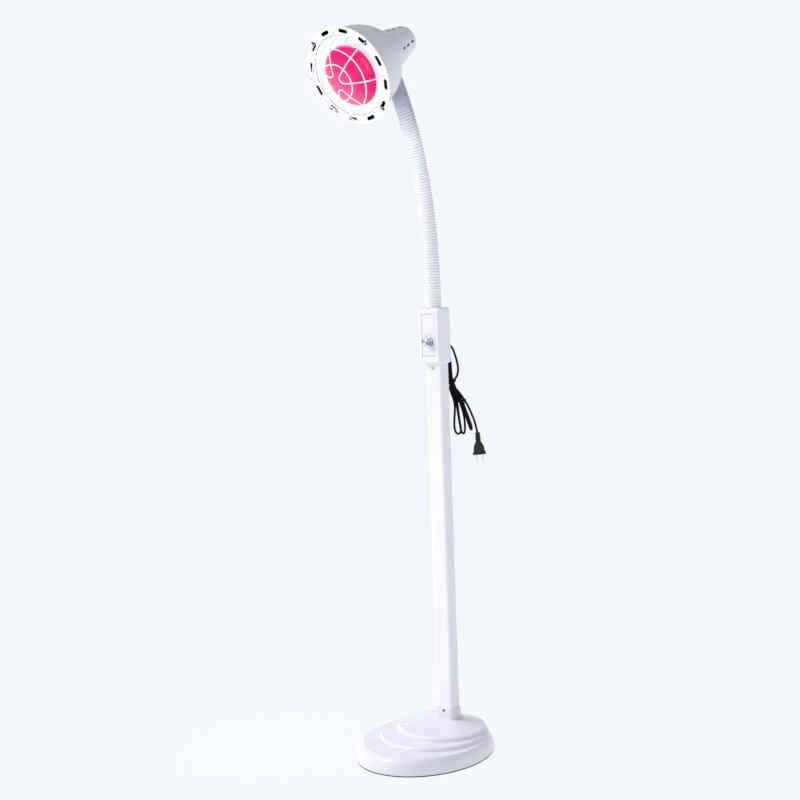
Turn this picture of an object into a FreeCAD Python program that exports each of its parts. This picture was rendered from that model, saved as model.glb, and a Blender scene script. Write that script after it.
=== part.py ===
"""Infrared heat therapy lamp on a weighted floor base, with a gooseneck and a guarded bowl.

Millimetres, +Z up.  The origin is on the column's centre line, where the mat meets the floor.
The control panel and the lamp face look towards -Y, and +X is on the right seen from there.
"""
import FreeCAD, Part
import math
import os
import re
import Sketcher
from FreeCAD import Placement, Rotation, Vector

UP = Vector(0, 0, 1)
FORWARD = Vector(0, -1, 0)
BACKWARD = Vector(0, 1, 0)
RIGHT = Vector(1, 0, 0)

os.makedirs("parts", exist_ok=True)
doc = FreeCAD.newDocument("heat_therapy_lamp")

# ---------------------------------------------------------------- driving dimensions
sheet = doc.addObject("Spreadsheet::Sheet", "sizes")
ALIASES = {}


def size(alias, value, meaning):
    """Put one driving dimension on the next row of the sheet."""
    row = len(ALIASES) + 1
    sheet.set(f"A{row}", meaning)
    sheet.set(f"B{row}", str(value))
    sheet.setAlias(f"B{row}", alias)
    ALIASES[alias] = f"B{row}"


# base
size("mat_thick", 2.4, "anti-slip mat")
size("base_centre", 76, "base centre in front of the column")
size("base_long", 158, "base half length, front to back")
size("base_wide", 133.5, "base half width")
size("base_wall", 3, "cover wall")
size("first_centre", 74, "lowest terrace centre in front of the column")
size("first_long", 139.5, "lowest terrace half length")
size("first_wide", 124.5, "lowest terrace half width")
size("first_high", 31.5, "lowest terrace height")
size("first_lean", -0.9, "slope of the lowest terrace, degrees, falling backwards")
size("second_centre", 48, "second terrace centre in front of the column")
size("second_long", 116, "second terrace half length")
size("second_wide", 111, "second terrace half width")
size("second_high", 38.5, "second terrace height")
size("third_centre", 25, "third terrace centre in front of the column")
size("third_long", 88, "third terrace half length")
size("third_wide", 98, "third terrace half width")
size("third_high", 46, "third terrace height at its edge")
size("crown_high", 54.5, "height of the flat round the column")
size("ballast_thick", 12, "cast weight")
size("ballast_gap", 12, "weight inside the cover outline")
# column
size("column_wide", 45, "tube across")
size("column_deep", 27, "tube front to back")
size("column_corner", 7, "tube corner radius")
size("column_wall", 1.5, "tube wall")
size("column_top", 836, "tube top, inside the control box")
size("collar_wall", 2.5, "collar wall round the tube")
size("collar_top", 78, "collar top")
size("flange_thick", 3, "socket flange")
size("socket_top", 150, "top of the socket inside the tube")
# control box
size("box_wide", 56, "box across")
size("box_front", 24.5, "front face ahead of the column axis")
size("box_back", 15.5, "rear face behind the column axis")
size("box_low", 814, "underside")
size("box_high", 929.5, "top")
size("box_round", 5, "edge radius")
size("box_wall", 2.4, "wall")
size("face_wall", 3.2, "front wall, thick enough for the inset panel")
size("seam_front", 17, "seam ahead of the column axis")
size("panel_wide", 38, "inset panel across")
size("panel_high", 89, "inset panel height")
size("panel_mid", 873, "inset panel centre height")
size("panel_thick", 1, "inset panel")
size("panel_gap", 1, "total play of the panel in its recess")
size("recess_deep", 1.4, "recess for the panel")
size("knob_high", 859, "knob axis height")
size("knob_wide", 24, "knob diameter")
size("knob_deep", 12, "knob length")
# neck
size("neck_front", 6, "neck axis ahead of the column axis")
size("neck_radius", 16.2, "outside radius of the neck links")
size("neck_long", 462, "length of hose between the ferrules")
size("neck_start", 933.5, "height where the hose starts")
size("neck_power", 1.4, "how late the lean gathers along the hose")
size("pivot_inset", 14, "first and last bending point from the hose ends")
size("ball_gap", 0.3, "clearance in each ball joint")
size("ball_step", 0.2, "how much smaller than the link each ball is")
size("core_radius", 6.5, "outside radius of the steel core")
size("core_wall", 2, "wall of the steel core")
size("ferrule_radius", 16.3, "outside radius of both ferrules")
size("stem_radius", 9, "threaded stem of both ferrules")
# head, measured backwards from the front of the ring along the lamp's axis
size("head_tilt", 28, "lamp axis below the horizontal, degrees")
size("neck_station", 117, "where the neck axis meets the lamp axis")
size("neck_reach", 64.7, "from the lamp axis to the hose end")
size("ring_radius", 100, "front ring outside")
size("ring_inner", 81, "front ring inside")
size("ring_thick", 1.2, "front ring")
size("slot_circle", 90.4, "vent slot centres in the ring")
size("slot_long", 21.5, "vent slot length")
size("slot_wide", 7.8, "vent slot width")
size("slot_phase", 19.3, "first vent slot from the top, degrees")
size("bell_rear", 120, "rear end of the bell")
size("bell_wall", 1.6, "bell wall")
size("housing_rear", 193, "rear end of the housing")
size("housing_front_radius", 43.5, "housing outside at the bell")
size("housing_rear_radius", 27.5, "housing outside at its end")
size("housing_wall", 2, "housing wall")
size("holder_front", 136, "front of the ceramic lamp holder")
size("bulb_radius", 62.5, "reflector bulb")
size("bulb_dome", 9, "bulb face ahead of the ring")
size("wire_radius", 1.25, "guard wire")
size("guard_rise", 38.5, "guard top ahead of the ring")
size("guard_tip", 21.6, "where each petal's arms meet its round tip")
size("guard_ring_outer", 65, "outer guard ring")
size("guard_ring_inner", 37.2, "inner guard ring")
# cord
size("cord_radius", 2.1, "power cord")
size("relief_high", 856, "strain relief's height")
doc.recompute()


def val(alias):
    """The number in the sheet's cell."""
    return float(sheet.get(alias))


# ---------------------------------------------------------------- helpers
def expression(words):
    """Write an expression's aliases the way the document refers to them."""
    return re.sub(r"[a-z]+(?:_[a-z]+)+", lambda m: f"sizes.{m.group(0)}", str(words))


def bind(obj, **sizes):
    """Tie properties of an object to the sheet."""
    for prop, words in sizes.items():
        obj.setExpression(prop.replace("__", "."), expression(words))
    return obj


def place(obj, x="0", y="0", z="0"):
    """Tie an object's position to the sheet."""
    return bind(obj, Placement__Base__x=x, Placement__Base__y=y, Placement__Base__z=z)


def cylinder(name, radius, height, x="0", y="0", z="0", axis=UP):
    """A cylinder standing on (x, y, z) and running along axis."""
    obj = doc.addObject("Part::Cylinder", name)
    bind(obj, Radius=radius, Height=height)
    obj.Placement = Placement(Vector(), Rotation(UP, axis))
    return place(obj, x, y, z)


def block(name, wide, deep, high, x="0", y="0", z="0"):
    """A box centred on x and y, standing on z."""
    obj = doc.addObject("Part::Box", name)
    bind(obj, Length=wide, Width=deep, Height=high)
    return place(obj, f"({x}) - ({wide}) / 2", f"({y}) - ({deep}) / 2", z)


def ball(name, radius, x="0", y="0", z="0"):
    obj = doc.addObject("Part::Sphere", name)
    bind(obj, Radius=radius)
    return place(obj, x, y, z)


def joined(name, *parts):
    obj = doc.addObject("Part::MultiFuse", name)
    obj.Shapes = list(parts)
    return obj


def group(name, *parts):
    """Several separate solids kept as one sub-part."""
    obj = doc.addObject("Part::Compound", name)
    obj.Links = list(parts)
    return obj


def less(name, base, *tools):
    """Base with every tool cut away."""
    obj = doc.addObject("Part::Cut", name)
    obj.Base = base
    obj.Tool = tools[0] if len(tools) == 1 else joined(name + "_tools", *tools)
    return obj


def shared(name, first, second):
    obj = doc.addObject("Part::MultiCommon", name)
    obj.Shapes = [first, second]
    return obj


def rounded(name, base, radius, chosen):
    """Fillet the edges of base whose centre passes the test."""
    doc.recompute()
    obj = doc.addObject("Part::Fillet", name)
    obj.Base = base
    edges = base.Shape.Edges
    picked = [n for n, edge in enumerate(edges, 1) if not edge.Degenerated and chosen(edge)]
    obj.Edges = [(n, radius, radius) for n in picked]
    return obj


def fixed(name, shape):
    """A feature whose shape is set directly, for pieces that no primitive gives."""
    obj = doc.addObject("Part::Feature", name)
    obj.Shape = shape
    return obj


def origin_plane(body, role):
    return next(f for f in body.Origin.OriginFeatures if f.Role == role)


def sketch_in(body, name, role="XY_Plane", offset="0"):
    """A sketch parallel to one of the body's own planes."""
    sketch = body.newObject("Sketcher::SketchObject", name)
    sketch.AttachmentSupport = (origin_plane(body, role), [""])
    sketch.MapMode = "FlatFace"
    bind(sketch, AttachmentOffset__Base__z=offset)
    return sketch


def constrain(sketch, words, *what):
    """Add a dimension and tie it to the sheet; the sheet's value replaces the starting one."""
    index = sketch.addConstraint(Sketcher.Constraint(*what))
    sketch.setExpression(f"Constraints[{index}]", expression(words))


def rounded_rectangle(sketch, wide, deep, corner):
    """A centred rectangle with round corners, drawn roughly and then held by its constraints."""
    half_x, half_y, r = 20, 14, 5
    ends = [
        ((r - half_x, -half_y), (half_x - r, -half_y)),
        ((half_x, r - half_y), (half_x, half_y - r)),
        ((half_x - r, half_y), (r - half_x, half_y)),
        ((-half_x, half_y - r), (-half_x, r - half_y)),
    ]
    lines = [sketch.addGeometry(Part.LineSegment(Vector(*a, 0), Vector(*b, 0))) for a, b in ends]
    arcs = []
    for turn, (x, y) in enumerate([(1, -1), (1, 1), (-1, 1), (-1, -1)]):
        circle = Part.Circle(Vector(x * (half_x - r), y * (half_y - r), 0), UP, r)
        low = math.radians(-90 + 90 * turn)
        arcs.append(sketch.addGeometry(Part.ArcOfCircle(circle, low, low + math.pi / 2)))
    for n in range(4):
        sketch.addConstraint(Sketcher.Constraint("Tangent", lines[n], 2, arcs[n], 1))
        sketch.addConstraint(Sketcher.Constraint("Tangent", arcs[n], 2, lines[(n + 1) % 4], 1))
    for n in (0, 2):
        sketch.addConstraint(Sketcher.Constraint("Horizontal", lines[n]))
        sketch.addConstraint(Sketcher.Constraint("Vertical", lines[n + 1]))
    for n in range(3):
        sketch.addConstraint(Sketcher.Constraint("Equal", arcs[n], arcs[n + 1]))
    sketch.addConstraint(Sketcher.Constraint("Symmetric", lines[0], 1, lines[2], 1, -1, 1))
    constrain(sketch, corner, "Radius", arcs[0], r)
    constrain(sketch, wide, "DistanceX", lines[3], 1, lines[1], 1, 2 * half_x)
    constrain(sketch, deep, "DistanceY", lines[0], 1, lines[2], 1, 2 * half_y)


def prism(name, wide, deep, corner, bottom, height, hole=None):
    """A rounded rectangular bar, or a tube when hole gives the inner width, depth and corner."""
    body = doc.addObject("PartDesign::Body", name)
    sketch = sketch_in(body, name + "_section", offset=bottom)
    rounded_rectangle(sketch, wide, deep, corner)
    if hole:
        rounded_rectangle(sketch, *hole)
    pad = body.newObject("PartDesign::Pad", name + "_pad")
    pad.Profile = sketch
    bind(pad, Length=height)
    return body


def washer(name, outer, inner, height, z="0"):
    """A flat ring or a round tube about the Z axis."""
    hole = cylinder(name + "_hole", inner, f"{height} + 2", z=f"{z} - 1")
    return less(name, cylinder(name + "_disc", outer, height, z=z), hole)


def oval(name, long_radius, short_radius, x="0", y="0", z="0", turn=0, lean=0):
    """An ellipse whose long axis is turned from +X, in a plane that rises backwards by lean."""
    obj = doc.addObject("Part::Ellipse", name)
    bind(obj, MajorRadius=long_radius, MinorRadius=short_radius)
    obj.Placement = Placement(Vector(), Rotation(RIGHT, lean) * Rotation(UP, turn))
    return place(obj, x, y, z)


def slab(name, outline, height):
    """The flat plate over a closed outline."""
    obj = doc.addObject("Part::Extrusion", name)
    obj.Base = outline
    obj.DirMode = "Custom"
    obj.Dir = UP
    obj.Solid = True
    return bind(obj, LengthFwd=height)


def lofted(name, *outlines, ruled=True):
    """The solid through a stack of outlines, with straight or with smooth sides."""
    obj = doc.addObject("Part::Loft", name)
    obj.Sections = list(outlines)
    obj.Solid = True
    obj.Ruled = ruled
    return obj


def curve_through(points):
    """A smooth curve through (radius, station) points, in the XZ plane."""
    curve = Part.BSplineCurve()
    curve.interpolate([Vector(radius, 0, station) for radius, station in points])
    return curve


def inside(points, wall, front, rear):
    """The (radius, station) points of the wall's inner side, from station front to station rear."""
    curve = curve_through(points)
    found = []
    for radius, station in points:
        along = curve.tangent(curve.parameter(Vector(radius, 0, station)))[0]
        found.append((Vector(radius - wall * along.z, 0, station + wall * along.x), along))
    for end, station in ((0, front), (-1, rear)):
        point, along = found[end]
        found[end] = (point + along * ((station - point.z) / along.z), along)
    return [(point.x, point.z) for point, along in found]


def spun(name, points):
    """The solid of revolution under a smooth curve through (radius, station) points."""
    (front_radius, front), (rear_radius, rear) = points[0], points[-1]
    back_to_start = Part.makePolygon([
        Vector(rear_radius, 0, rear),
        Vector(0, 0, rear),
        Vector(0, 0, front),
        Vector(front_radius, 0, front),
    ])
    wire = Part.Wire([curve_through(points).toShape(), back_to_start])
    return fixed(name, Part.Face(wire).revolve(Vector(), UP, 360))


def around(degrees):
    """Unit vector in the lamp's own XY plane, clockwise from the top as seen from in front.

    There +X is the right-hand side and -Y is the upper side.
    """
    angle = math.radians(degrees)
    return Vector(math.sin(angle), -math.cos(angle), 0)


SUBPARTS = []


def keep(obj, placement=None):
    """Make an object a sub-part, at its place in the lamp."""
    if placement is not None:
        obj.Placement = placement
    SUBPARTS.append(obj)
    return obj


# ---------------------------------------------------------------- base
# Each step of the cover is a stack of ovals: larger and smaller half size, centre ahead,
# height, slope. The first two steps are longest from front to back, the third from side to side.
SLOPE = val("first_lean")
FIRST = [
    ("base_long", "base_wide", "base_centre", "mat_thick", 0),
    ("base_long - 2", "base_wide - 1.5", "base_centre", "mat_thick + 10", 0),
    ("first_long + 10", "first_wide + 5", "first_centre + 1", "first_high - 8", SLOPE),
    ("first_long", "first_wide", "first_centre", "first_high", SLOPE),
]
SECOND = [
    ("second_long + 3", "second_wide + 3", "second_centre", "first_high - 12", 0),
    ("second_long + 1", "second_wide + 1", "second_centre", "second_high - 3", 0),
    ("second_long - 2", "second_wide - 2", "second_centre", "second_high", 0),
]
THIRD = [
    ("third_wide + 3", "third_long + 3", "third_centre", "first_high - 10", 0),
    ("third_wide + 1.5", "third_long + 1.5", "third_centre", "third_high - 4.5", 0),
    ("third_wide - 1.5", "third_long - 1.5", "third_centre", "third_high - 0.6", 0),
    ("third_wide - 8", "third_long - 8", "third_centre", "third_high + 0.9", 0),
    ("third_wide - 20", "third_long - 20", "third_centre - 4", "third_high + 2.4", 0),
    ("third_wide - 36", "third_long - 36", "third_centre - 10", "third_high + 4.6", 0),
    ("34", "33", "4", "crown_high", 0),
]


def mound(name, ovals, turn, inset):
    """A smooth block through a stack of ovals; inset makes the same block's inner side."""
    outlines = []
    for n, (larger, smaller, centre, height, slope) in enumerate(ovals, 1):
        outlines.append(
            oval(
                f"{name}_oval_{n}", f"{larger} - {inset}", f"{smaller} - {inset}",
                y=f"-({centre})", z=f"{height} - {inset}", turn=turn, lean=slope,
            )
        )
    return lofted(name, *outlines, ruled=False)


def terraces(name, inset):
    """All three steps in one block."""
    steps = [
        mound(f"{name}_step_{n}", ovals, turn, inset)
        for n, (ovals, turn) in enumerate(((FIRST, 90), (SECOND, 90), (THIRD, 0)), 1)
    ]
    return joined(name, *steps)


POSTS = [(x, y) for x in (-75, 75) for y in (-160, 0)]


def at_posts(name, radius, height, z):
    """The same upright cylinder at each of the cover's four screw posts."""
    return [
        cylinder(f"{name}_{n}", radius, height, str(x), str(y), z)
        for n, (x, y) in enumerate(POSTS, 1)
    ]


mat = slab(
    "base_mat",
    oval("mat_outline", "base_long - 0.5", "base_wide - 0.5", y="-base_centre", turn=90),
    "mat_thick",
)
keep(mat)

cover_outside = terraces("cover_outside", "0")
cover_inside = terraces("cover_inside", "base_wall")
posts = at_posts("post", "5", "60", "mat_thick + ballast_thick")
cover_hollow = less("cover_hollow", cover_inside, *posts)
column_hole = prism(
    "cover_column_hole", "column_wide + 1", "column_deep + 1", "column_corner + 0.5", "20", "60",
)
base_cover = less(
    "base_cover", cover_outside, cover_hollow, column_hole,
    *at_posts("post_bore", "2.05", "24", "mat_thick"),
)
keep(base_cover)

SOCKET_SCREWS = [(x, y) for x in (-33, 33) for y in (-21, 21)]
ballast = slab(
    "ballast_block",
    oval(
        "ballast_outline", "base_long - ballast_gap", "base_wide - ballast_gap",
        y="-base_centre", z="mat_thick", turn=90,
    ),
    "ballast_thick",
)
ballast_holes = at_posts("ballast_clearance", "2.3", "ballast_thick + 2", "mat_thick - 1")
ballast_holes += at_posts("ballast_counterbore", "4.4", "3", "mat_thick")
ballast_holes += [
    cylinder(f"ballast_thread_{n}", "2.05", "8.1", str(x), str(y), "mat_thick + 4.9")
    for n, (x, y) in enumerate(SOCKET_SCREWS, 1)
]
keep(less("ballast_plate", ballast, *ballast_holes))

cover_screws = [
    joined(f"cover_screw_{n}", head, shaft)
    for n, (head, shaft) in enumerate(
        zip(
            at_posts("cover_screw_head", "4", "2.8", "mat_thick + 0.2"),
            at_posts("cover_screw_shaft", "2", "20", "mat_thick + 2.9"),
        ),
        1,
    )
]
keep(group("cover_screws", *cover_screws))

flange = prism(
    "socket_flange", "80", "56", "6", "mat_thick + ballast_thick", "flange_thick"
)
socket_tube = prism(
    "socket_tube", "column_wide - 2 * column_wall - 0.2", "column_deep - 2 * column_wall - 0.2",
    "column_corner - column_wall - 0.1", "mat_thick + ballast_thick", "socket_top - 15",
    hole=(
        "column_wide - 4 * column_wall - 1.2", "column_deep - 4 * column_wall - 1.2",
        "column_corner - 2 * column_wall - 0.6",
    ),
)
socket_holes = [
    cylinder(f"flange_hole_{n}", "2.2", "5", str(x), str(y), "mat_thick + ballast_thick - 1")
    for n, (x, y) in enumerate(SOCKET_SCREWS, 1)
]
keep(less("column_socket", joined("socket_weldment", flange, socket_tube), *socket_holes))

socket_screws = []
for n, (x, y) in enumerate(SOCKET_SCREWS, 1):
    shaft = cylinder(f"socket_shaft_{n}", "2", "10.1", str(x), str(y), "mat_thick + 5")
    head = cylinder(
        f"socket_head_{n}", "3.6", "2.5", str(x), str(y), "mat_thick + ballast_thick + flange_thick"
    )
    socket_screws.append(joined(f"socket_screw_{n}", shaft, head))
keep(group("socket_screws", *socket_screws))

collar_screw_bore = cylinder(
    "collar_screw_bore", "2.55", "8", y="-column_deep / 2 + 1", z="collar_top - 5.5", axis=FORWARD
)
collar_block = prism(
    "collar_block", "column_wide + 2 * collar_wall", "column_deep + 2 * collar_wall",
    "column_corner + collar_wall", "40", "collar_top - 40",
    hole=("column_wide + 0.4", "column_deep + 0.4", "column_corner + 0.2"),
)
keep(less("base_collar", collar_block, cover_outside, collar_screw_bore))
keep(
    cylinder(
        "collar_screw", "2.5", "collar_wall + 0.7",
        y="-column_deep / 2", z="collar_top - 5.5", axis=FORWARD,
    )
)

# ---------------------------------------------------------------- column
column_block = prism(
    "column_block", "column_wide", "column_deep", "column_corner",
    "mat_thick + ballast_thick + flange_thick",
    "column_top - mat_thick - ballast_thick - flange_thick",
    hole=(
        "column_wide - 2 * column_wall", "column_deep - 2 * column_wall",
        "column_corner - column_wall",
    ),
)
column_screw_bore = cylinder(
    "column_screw_bore", "2.05", "8",
    y="-column_deep / 2 + 7", z="box_low - 10", axis=FORWARD,
)
keep(less("column_tube", column_block, column_screw_bore))

spigot_block = prism(
    "spigot_block", "column_wide - 2 * column_wall - 0.4", "column_deep - 2 * column_wall - 0.4",
    "column_corner - column_wall - 0.2", "column_top - 66", "75",
    hole=(
        "column_wide - 4 * column_wall - 1.4", "column_deep - 4 * column_wall - 1.4",
        "column_corner - 2 * column_wall - 0.7",
    ),
)
keep(less("column_spigot", spigot_block, column_screw_bore))
column_screw_shaft = cylinder(
    "column_screw_shaft", "2", "5", y="-column_deep / 2 + 5", z="box_low - 10", axis=FORWARD
)
column_screw_head = cylinder(
    "column_screw_head", "3.4", "1.6", y="-column_deep / 2", z="box_low - 10", axis=FORWARD
)
keep(joined("column_screw", column_screw_shaft, column_screw_head))

# ---------------------------------------------------------------- control box
box_blank = block(
    "box_blank", "box_wide", "box_front + box_back", "box_high - box_low",
    y="(box_back - box_front) / 2", z="box_low",
)
box_outside = rounded("box_outside", box_blank, val("box_round"), lambda edge: True)
cavity_blank = block(
    "cavity_blank", "box_wide - 2 * box_wall", "box_front + box_back - box_wall - face_wall",
    "box_high - box_low - 2 * box_wall",
    y="(box_back - box_wall - box_front + face_wall) / 2", z="box_low + box_wall",
)
box_cavity = rounded(
    "box_cavity", cavity_blank, val("box_round") - val("box_wall"), lambda edge: True
)
box_shell = less("box_shell", box_outside, box_cavity)


def half(name, front, deep):
    """The part of the box's shell that lies deep behind a plane ahead of the column axis."""
    space = block(
        name + "_space", "2 * box_wide", deep, "2 * (box_high - box_low)",
        y=f"-({front}) + ({deep}) / 2", z="box_low - 50",
    )
    return shared(name, box_shell, space)


BOX_SCREWS = [(x, z) for x in (-21.5, 21.5) for z in (857, 918)]


def at_box_screws(name, radius, back, deep):
    """The same cylinder at each box screw, from y = back forwards."""
    return [
        cylinder(f"{name}_{n}", radius, deep, str(x), back, str(z), axis=FORWARD)
        for n, (x, z) in enumerate(BOX_SCREWS, 1)
    ]


panel_recess = block(
    "panel_recess", "panel_wide", "4", "panel_high",
    y="-box_front + recess_deep - 2", z="panel_mid - panel_high / 2",
)
front_bosses = at_box_screws("front_boss", "4", "-12", "box_front - face_wall - 11.9")
front_bores = at_box_screws("front_bore", "1.55", "-11", "7")
front_half = half("front_half", "box_front + 10", "box_front + 10 - seam_front")
bush_hole = cylinder("bush_hole", "3.6", "14", y="-15", z="knob_high", axis=FORWARD)
keep(
    less(
        "box_front_cover", joined("front_with_bosses", front_half, *front_bosses),
        panel_recess, bush_hole, *front_bores,
    )
)

panel_blank = block(
    "panel_blank", "panel_wide - panel_gap", "panel_thick", "panel_high - panel_gap",
    y="-box_front + recess_deep - panel_thick / 2", z="panel_mid - (panel_high - panel_gap) / 2",
)
keep(less("panel_plate", panel_blank, bush_hole))

rear_half = half("rear_half", "seam_front", "seam_front + box_back + 10")
rear_bosses = at_box_screws("rear_boss", "4.2", "box_back - 1", "box_back + 11")
rear_bores = at_box_screws("rear_bore", "1.6", "box_back + 1", "box_back + 14")
screw_recesses = at_box_screws("screw_recess", "3", "box_back + 1", "4")
ledge = block(
    "ledge", "box_wide - box_wall", "seam_front + box_back - 1", "3",
    y="(box_back - seam_front - 1) / 2", z="column_top",
)
BOARD_POSTS = [(x, z) for x in (-11, 11) for z in (866, 908)]
board_posts = [
    cylinder(f"board_post_{n}", "2.5", "7.6", str(x), "box_back - 1", str(z), FORWARD)
    for n, (x, z) in enumerate(BOARD_POSTS, 1)
]
rear_solid = joined("rear_with_bosses", rear_half, ledge, *rear_bosses, *board_posts)
column_opening = prism(
    "column_opening", "column_wide + 0.4", "column_deep + 0.4", "column_corner + 0.2",
    "box_low - 5", "column_top - box_low + 5",
)
spigot_opening = prism(
    "spigot_opening", "column_wide - 2 * column_wall", "column_deep - 2 * column_wall",
    "column_corner - column_wall", "column_top - 5", "12",
)
stem_opening = cylinder("stem_opening", "stem_radius + 0.1", "20", y="-neck_front", z="box_high - 10")
relief_opening = cylinder(
    "relief_opening", "4.5", "12", y="box_back - 8", z="relief_high", axis=BACKWARD
)
keep(
    less(
        "box_rear_shell", rear_solid, column_opening, spigot_opening, stem_opening,
        relief_opening, *rear_bores, *screw_recesses,
    )
)

box_screws = [
    joined(f"box_screw_{n}", head, shaft)
    for n, (head, shaft) in enumerate(
        zip(
            at_box_screws("box_screw_head", "2.8", "box_back - 1.2", "1.8"),
            at_box_screws("box_screw_shaft", "1.5", "box_back - 2.9", "box_back + 14"),
        ),
        1,
    )
]
keep(group("box_screws", *box_screws))

dimmer_case = cylinder(
    "dimmer_case", "10.5", "12", y="-box_front + face_wall + 12", z="knob_high", axis=FORWARD
)
dimmer_bush = cylinder(
    "dimmer_bush", "3.5", "6.4", y="-box_front + face_wall + 1", z="knob_high", axis=FORWARD
)
shaft_bore = cylinder("shaft_bore", "3.08", "30", y="-box_front + 10", z="knob_high", axis=FORWARD)
keep(less("dimmer_body", joined("dimmer_with_bush", dimmer_case, dimmer_bush), shaft_bore))
nut_disc = cylinder(
    "nut_disc", "6.5", "2.4", y="-box_front + recess_deep - panel_thick", z="knob_high", axis=FORWARD
)
nut_bore = cylinder("nut_bore", "3.55", "10", y="-box_front + 4", z="knob_high", axis=FORWARD)
keep(less("dimmer_nut", nut_disc, nut_bore))
keep(
    cylinder(
        "dimmer_shaft", "3", "knob_deep + 6", y="-box_front + 9.5 - 0.6", z="knob_high", axis=FORWARD
    )
)

knob_foot = "-box_front - 0.3"
knob_skirt = cylinder("knob_skirt", "knob_wide / 2", "3.5", y=knob_foot, z="knob_high", axis=FORWARD)
knob_body = cylinder(
    "knob_body", "knob_wide / 2 - 2.2", "knob_deep", y=knob_foot, z="knob_high", axis=FORWARD
)
knob_grip = block(
    "knob_grip", "4", "knob_deep - 2", "knob_wide - 2",
    y="-box_front - 1.3 - knob_deep / 2", z="knob_high - knob_wide / 2 + 1",
)
nut_space = cylinder("nut_space", "7.2", "3", y=f"{knob_foot} + 1", z="knob_high", axis=FORWARD)
knob_bore = cylinder(
    "knob_bore", "3.05", "knob_deep - 2.8", y="-box_front", z="knob_high", axis=FORWARD
)
knob_solid = joined("knob_solid", knob_skirt, knob_body, knob_grip)
keep(less("control_knob", knob_solid, nut_space, knob_bore))

board_blank = block("board_blank", "32", "1.6", "50", y="box_back - 8.6 - 0.8", z="862")
keep(board_blank).Label = "circuit_board"
board_face = "box_back - 8.6 - 1.6"
terminal = block("terminal_block", "24", "9", "8.5", y=f"{board_face} - 4.5", z="863.5")
keep(terminal)
capacitor = block("capacitor", "14", "10", "13", x="-8", y=f"{board_face} - 5", z="875")
choke = cylinder("choke", "6.5", "8", "8", board_face, "882", FORWARD)
triac = block("triac", "10", "4.5", "15", y=f"{board_face} - 2.25", z="892")
heat_sink = block("heat_sink", "26", "1.5", "18", y=f"{board_face} - 5.25", z="891")
keep(group("board_parts", capacitor, choke, triac, heat_sink))

# ---------------------------------------------------------------- neck
def lean_at(station):
    """Forward lean of the hose in degrees, at a distance along it."""
    return val("head_tilt") * (station / val("neck_long")) ** val("neck_power")


def direction_at(station):
    lean = math.radians(lean_at(station))
    return Vector(0, -math.sin(lean), math.cos(lean))


def neck_point(station):
    """Where the hose's centre line is, by adding up short steps."""
    steps = max(1, round(station))
    step = station / steps
    point = Vector(0, -val("neck_front"), val("neck_start"))
    for n in range(steps):
        point += direction_at((n + 0.5) * step) * step
    return point


def along_neck(point, direction):
    return Placement(point, Rotation(UP, direction))


LINKS = 7
inset_length = val("pivot_inset")
spacing = (val("neck_long") - 2 * inset_length) / LINKS
hose_end = neck_point(val("neck_long"))
end_direction = direction_at(val("neck_long"))
pivots = [neck_point(inset_length + n * spacing) for n in range(LINKS)]
pivots.append(hose_end - end_direction * inset_length)
for n, pivot in enumerate(pivots, 1):
    lean = lean_at(inset_length + (n - 1) * spacing)
    print(f"pivot {n}: y {pivot.y:.2f} z {pivot.z:.2f} lean {lean:.2f}")

lower_axis = {"y": "-neck_front"}
ferrule_stem = cylinder("lower_stem", "stem_radius", "14.6", z="box_high - 14.5", **lower_axis)
ferrule_flange = cylinder("lower_flange", "ferrule_radius", "4", z="box_high", **lower_axis)
ferrule_neck = cylinder(
    "lower_neck", "neck_radius", "pivot_inset + 3.9", z="box_high + 0.1", **lower_axis
)
ferrule_ball = ball(
    "lower_ball", "neck_radius - ball_step", z="neck_start + pivot_inset", **lower_axis
)
wire_bore = cylinder("lower_wire_bore", "core_radius - core_wall", "80", z="box_high - 20", **lower_axis)
lower_solid = joined("lower_solid", ferrule_stem, ferrule_flange, ferrule_neck, ferrule_ball)
keep(less("neck_lower_ferrule", lower_solid, wire_bore))
nut_blank = cylinder("lower_nut_disc", "12.5", "5.6", z="box_high - box_wall - 5.6", **lower_axis)
nut_thread = cylinder("lower_nut_bore", "stem_radius + 0.05", "14", z="box_high - 14", **lower_axis)
keep(less("neck_lower_nut", nut_blank, nut_thread))

for n in range(LINKS):
    reach = pivots[n + 1] - pivots[n]
    spot = along_neck(pivots[n], reach)
    name = f"neck_sleeve_{n + 1:02d}"
    barrel = cylinder(name + "_barrel", "neck_radius", f"{reach.Length - 5}", z="5")
    top_ball = ball(name + "_ball", "neck_radius - ball_step", z=str(reach.Length))
    cup = ball(name + "_cup", "neck_radius - ball_step + ball_gap")
    bore = cylinder(name + "_bore", "core_radius", f"{reach.Length + 30}")
    keep(less(name, joined(name + "_solid", barrel, top_ball), cup, bore), spot)
    name = f"neck_core_{n + 1:02d}"
    keep(washer(name, "core_radius", "core_radius - core_wall", f"{reach.Length - 3}", "17"), spot)

upper_rim = cylinder("upper_rim", "neck_radius", "pivot_inset - 4.9", z="5")
upper_flange = cylinder("upper_flange", "ferrule_radius", "6", z="pivot_inset")
upper_stem = cylinder("upper_stem", "stem_radius", "16.1", z="pivot_inset + 5.9")
upper_cup = ball("upper_cup", "neck_radius - ball_step + ball_gap")
upper_bore = cylinder("upper_bore", "core_radius - core_wall", "60")
upper_solid = joined("upper_solid", upper_rim, upper_flange, upper_stem)
upper_spot = along_neck(pivots[-1], end_direction)
keep(less("neck_upper_ferrule", upper_solid, upper_cup, upper_bore), upper_spot)

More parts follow.
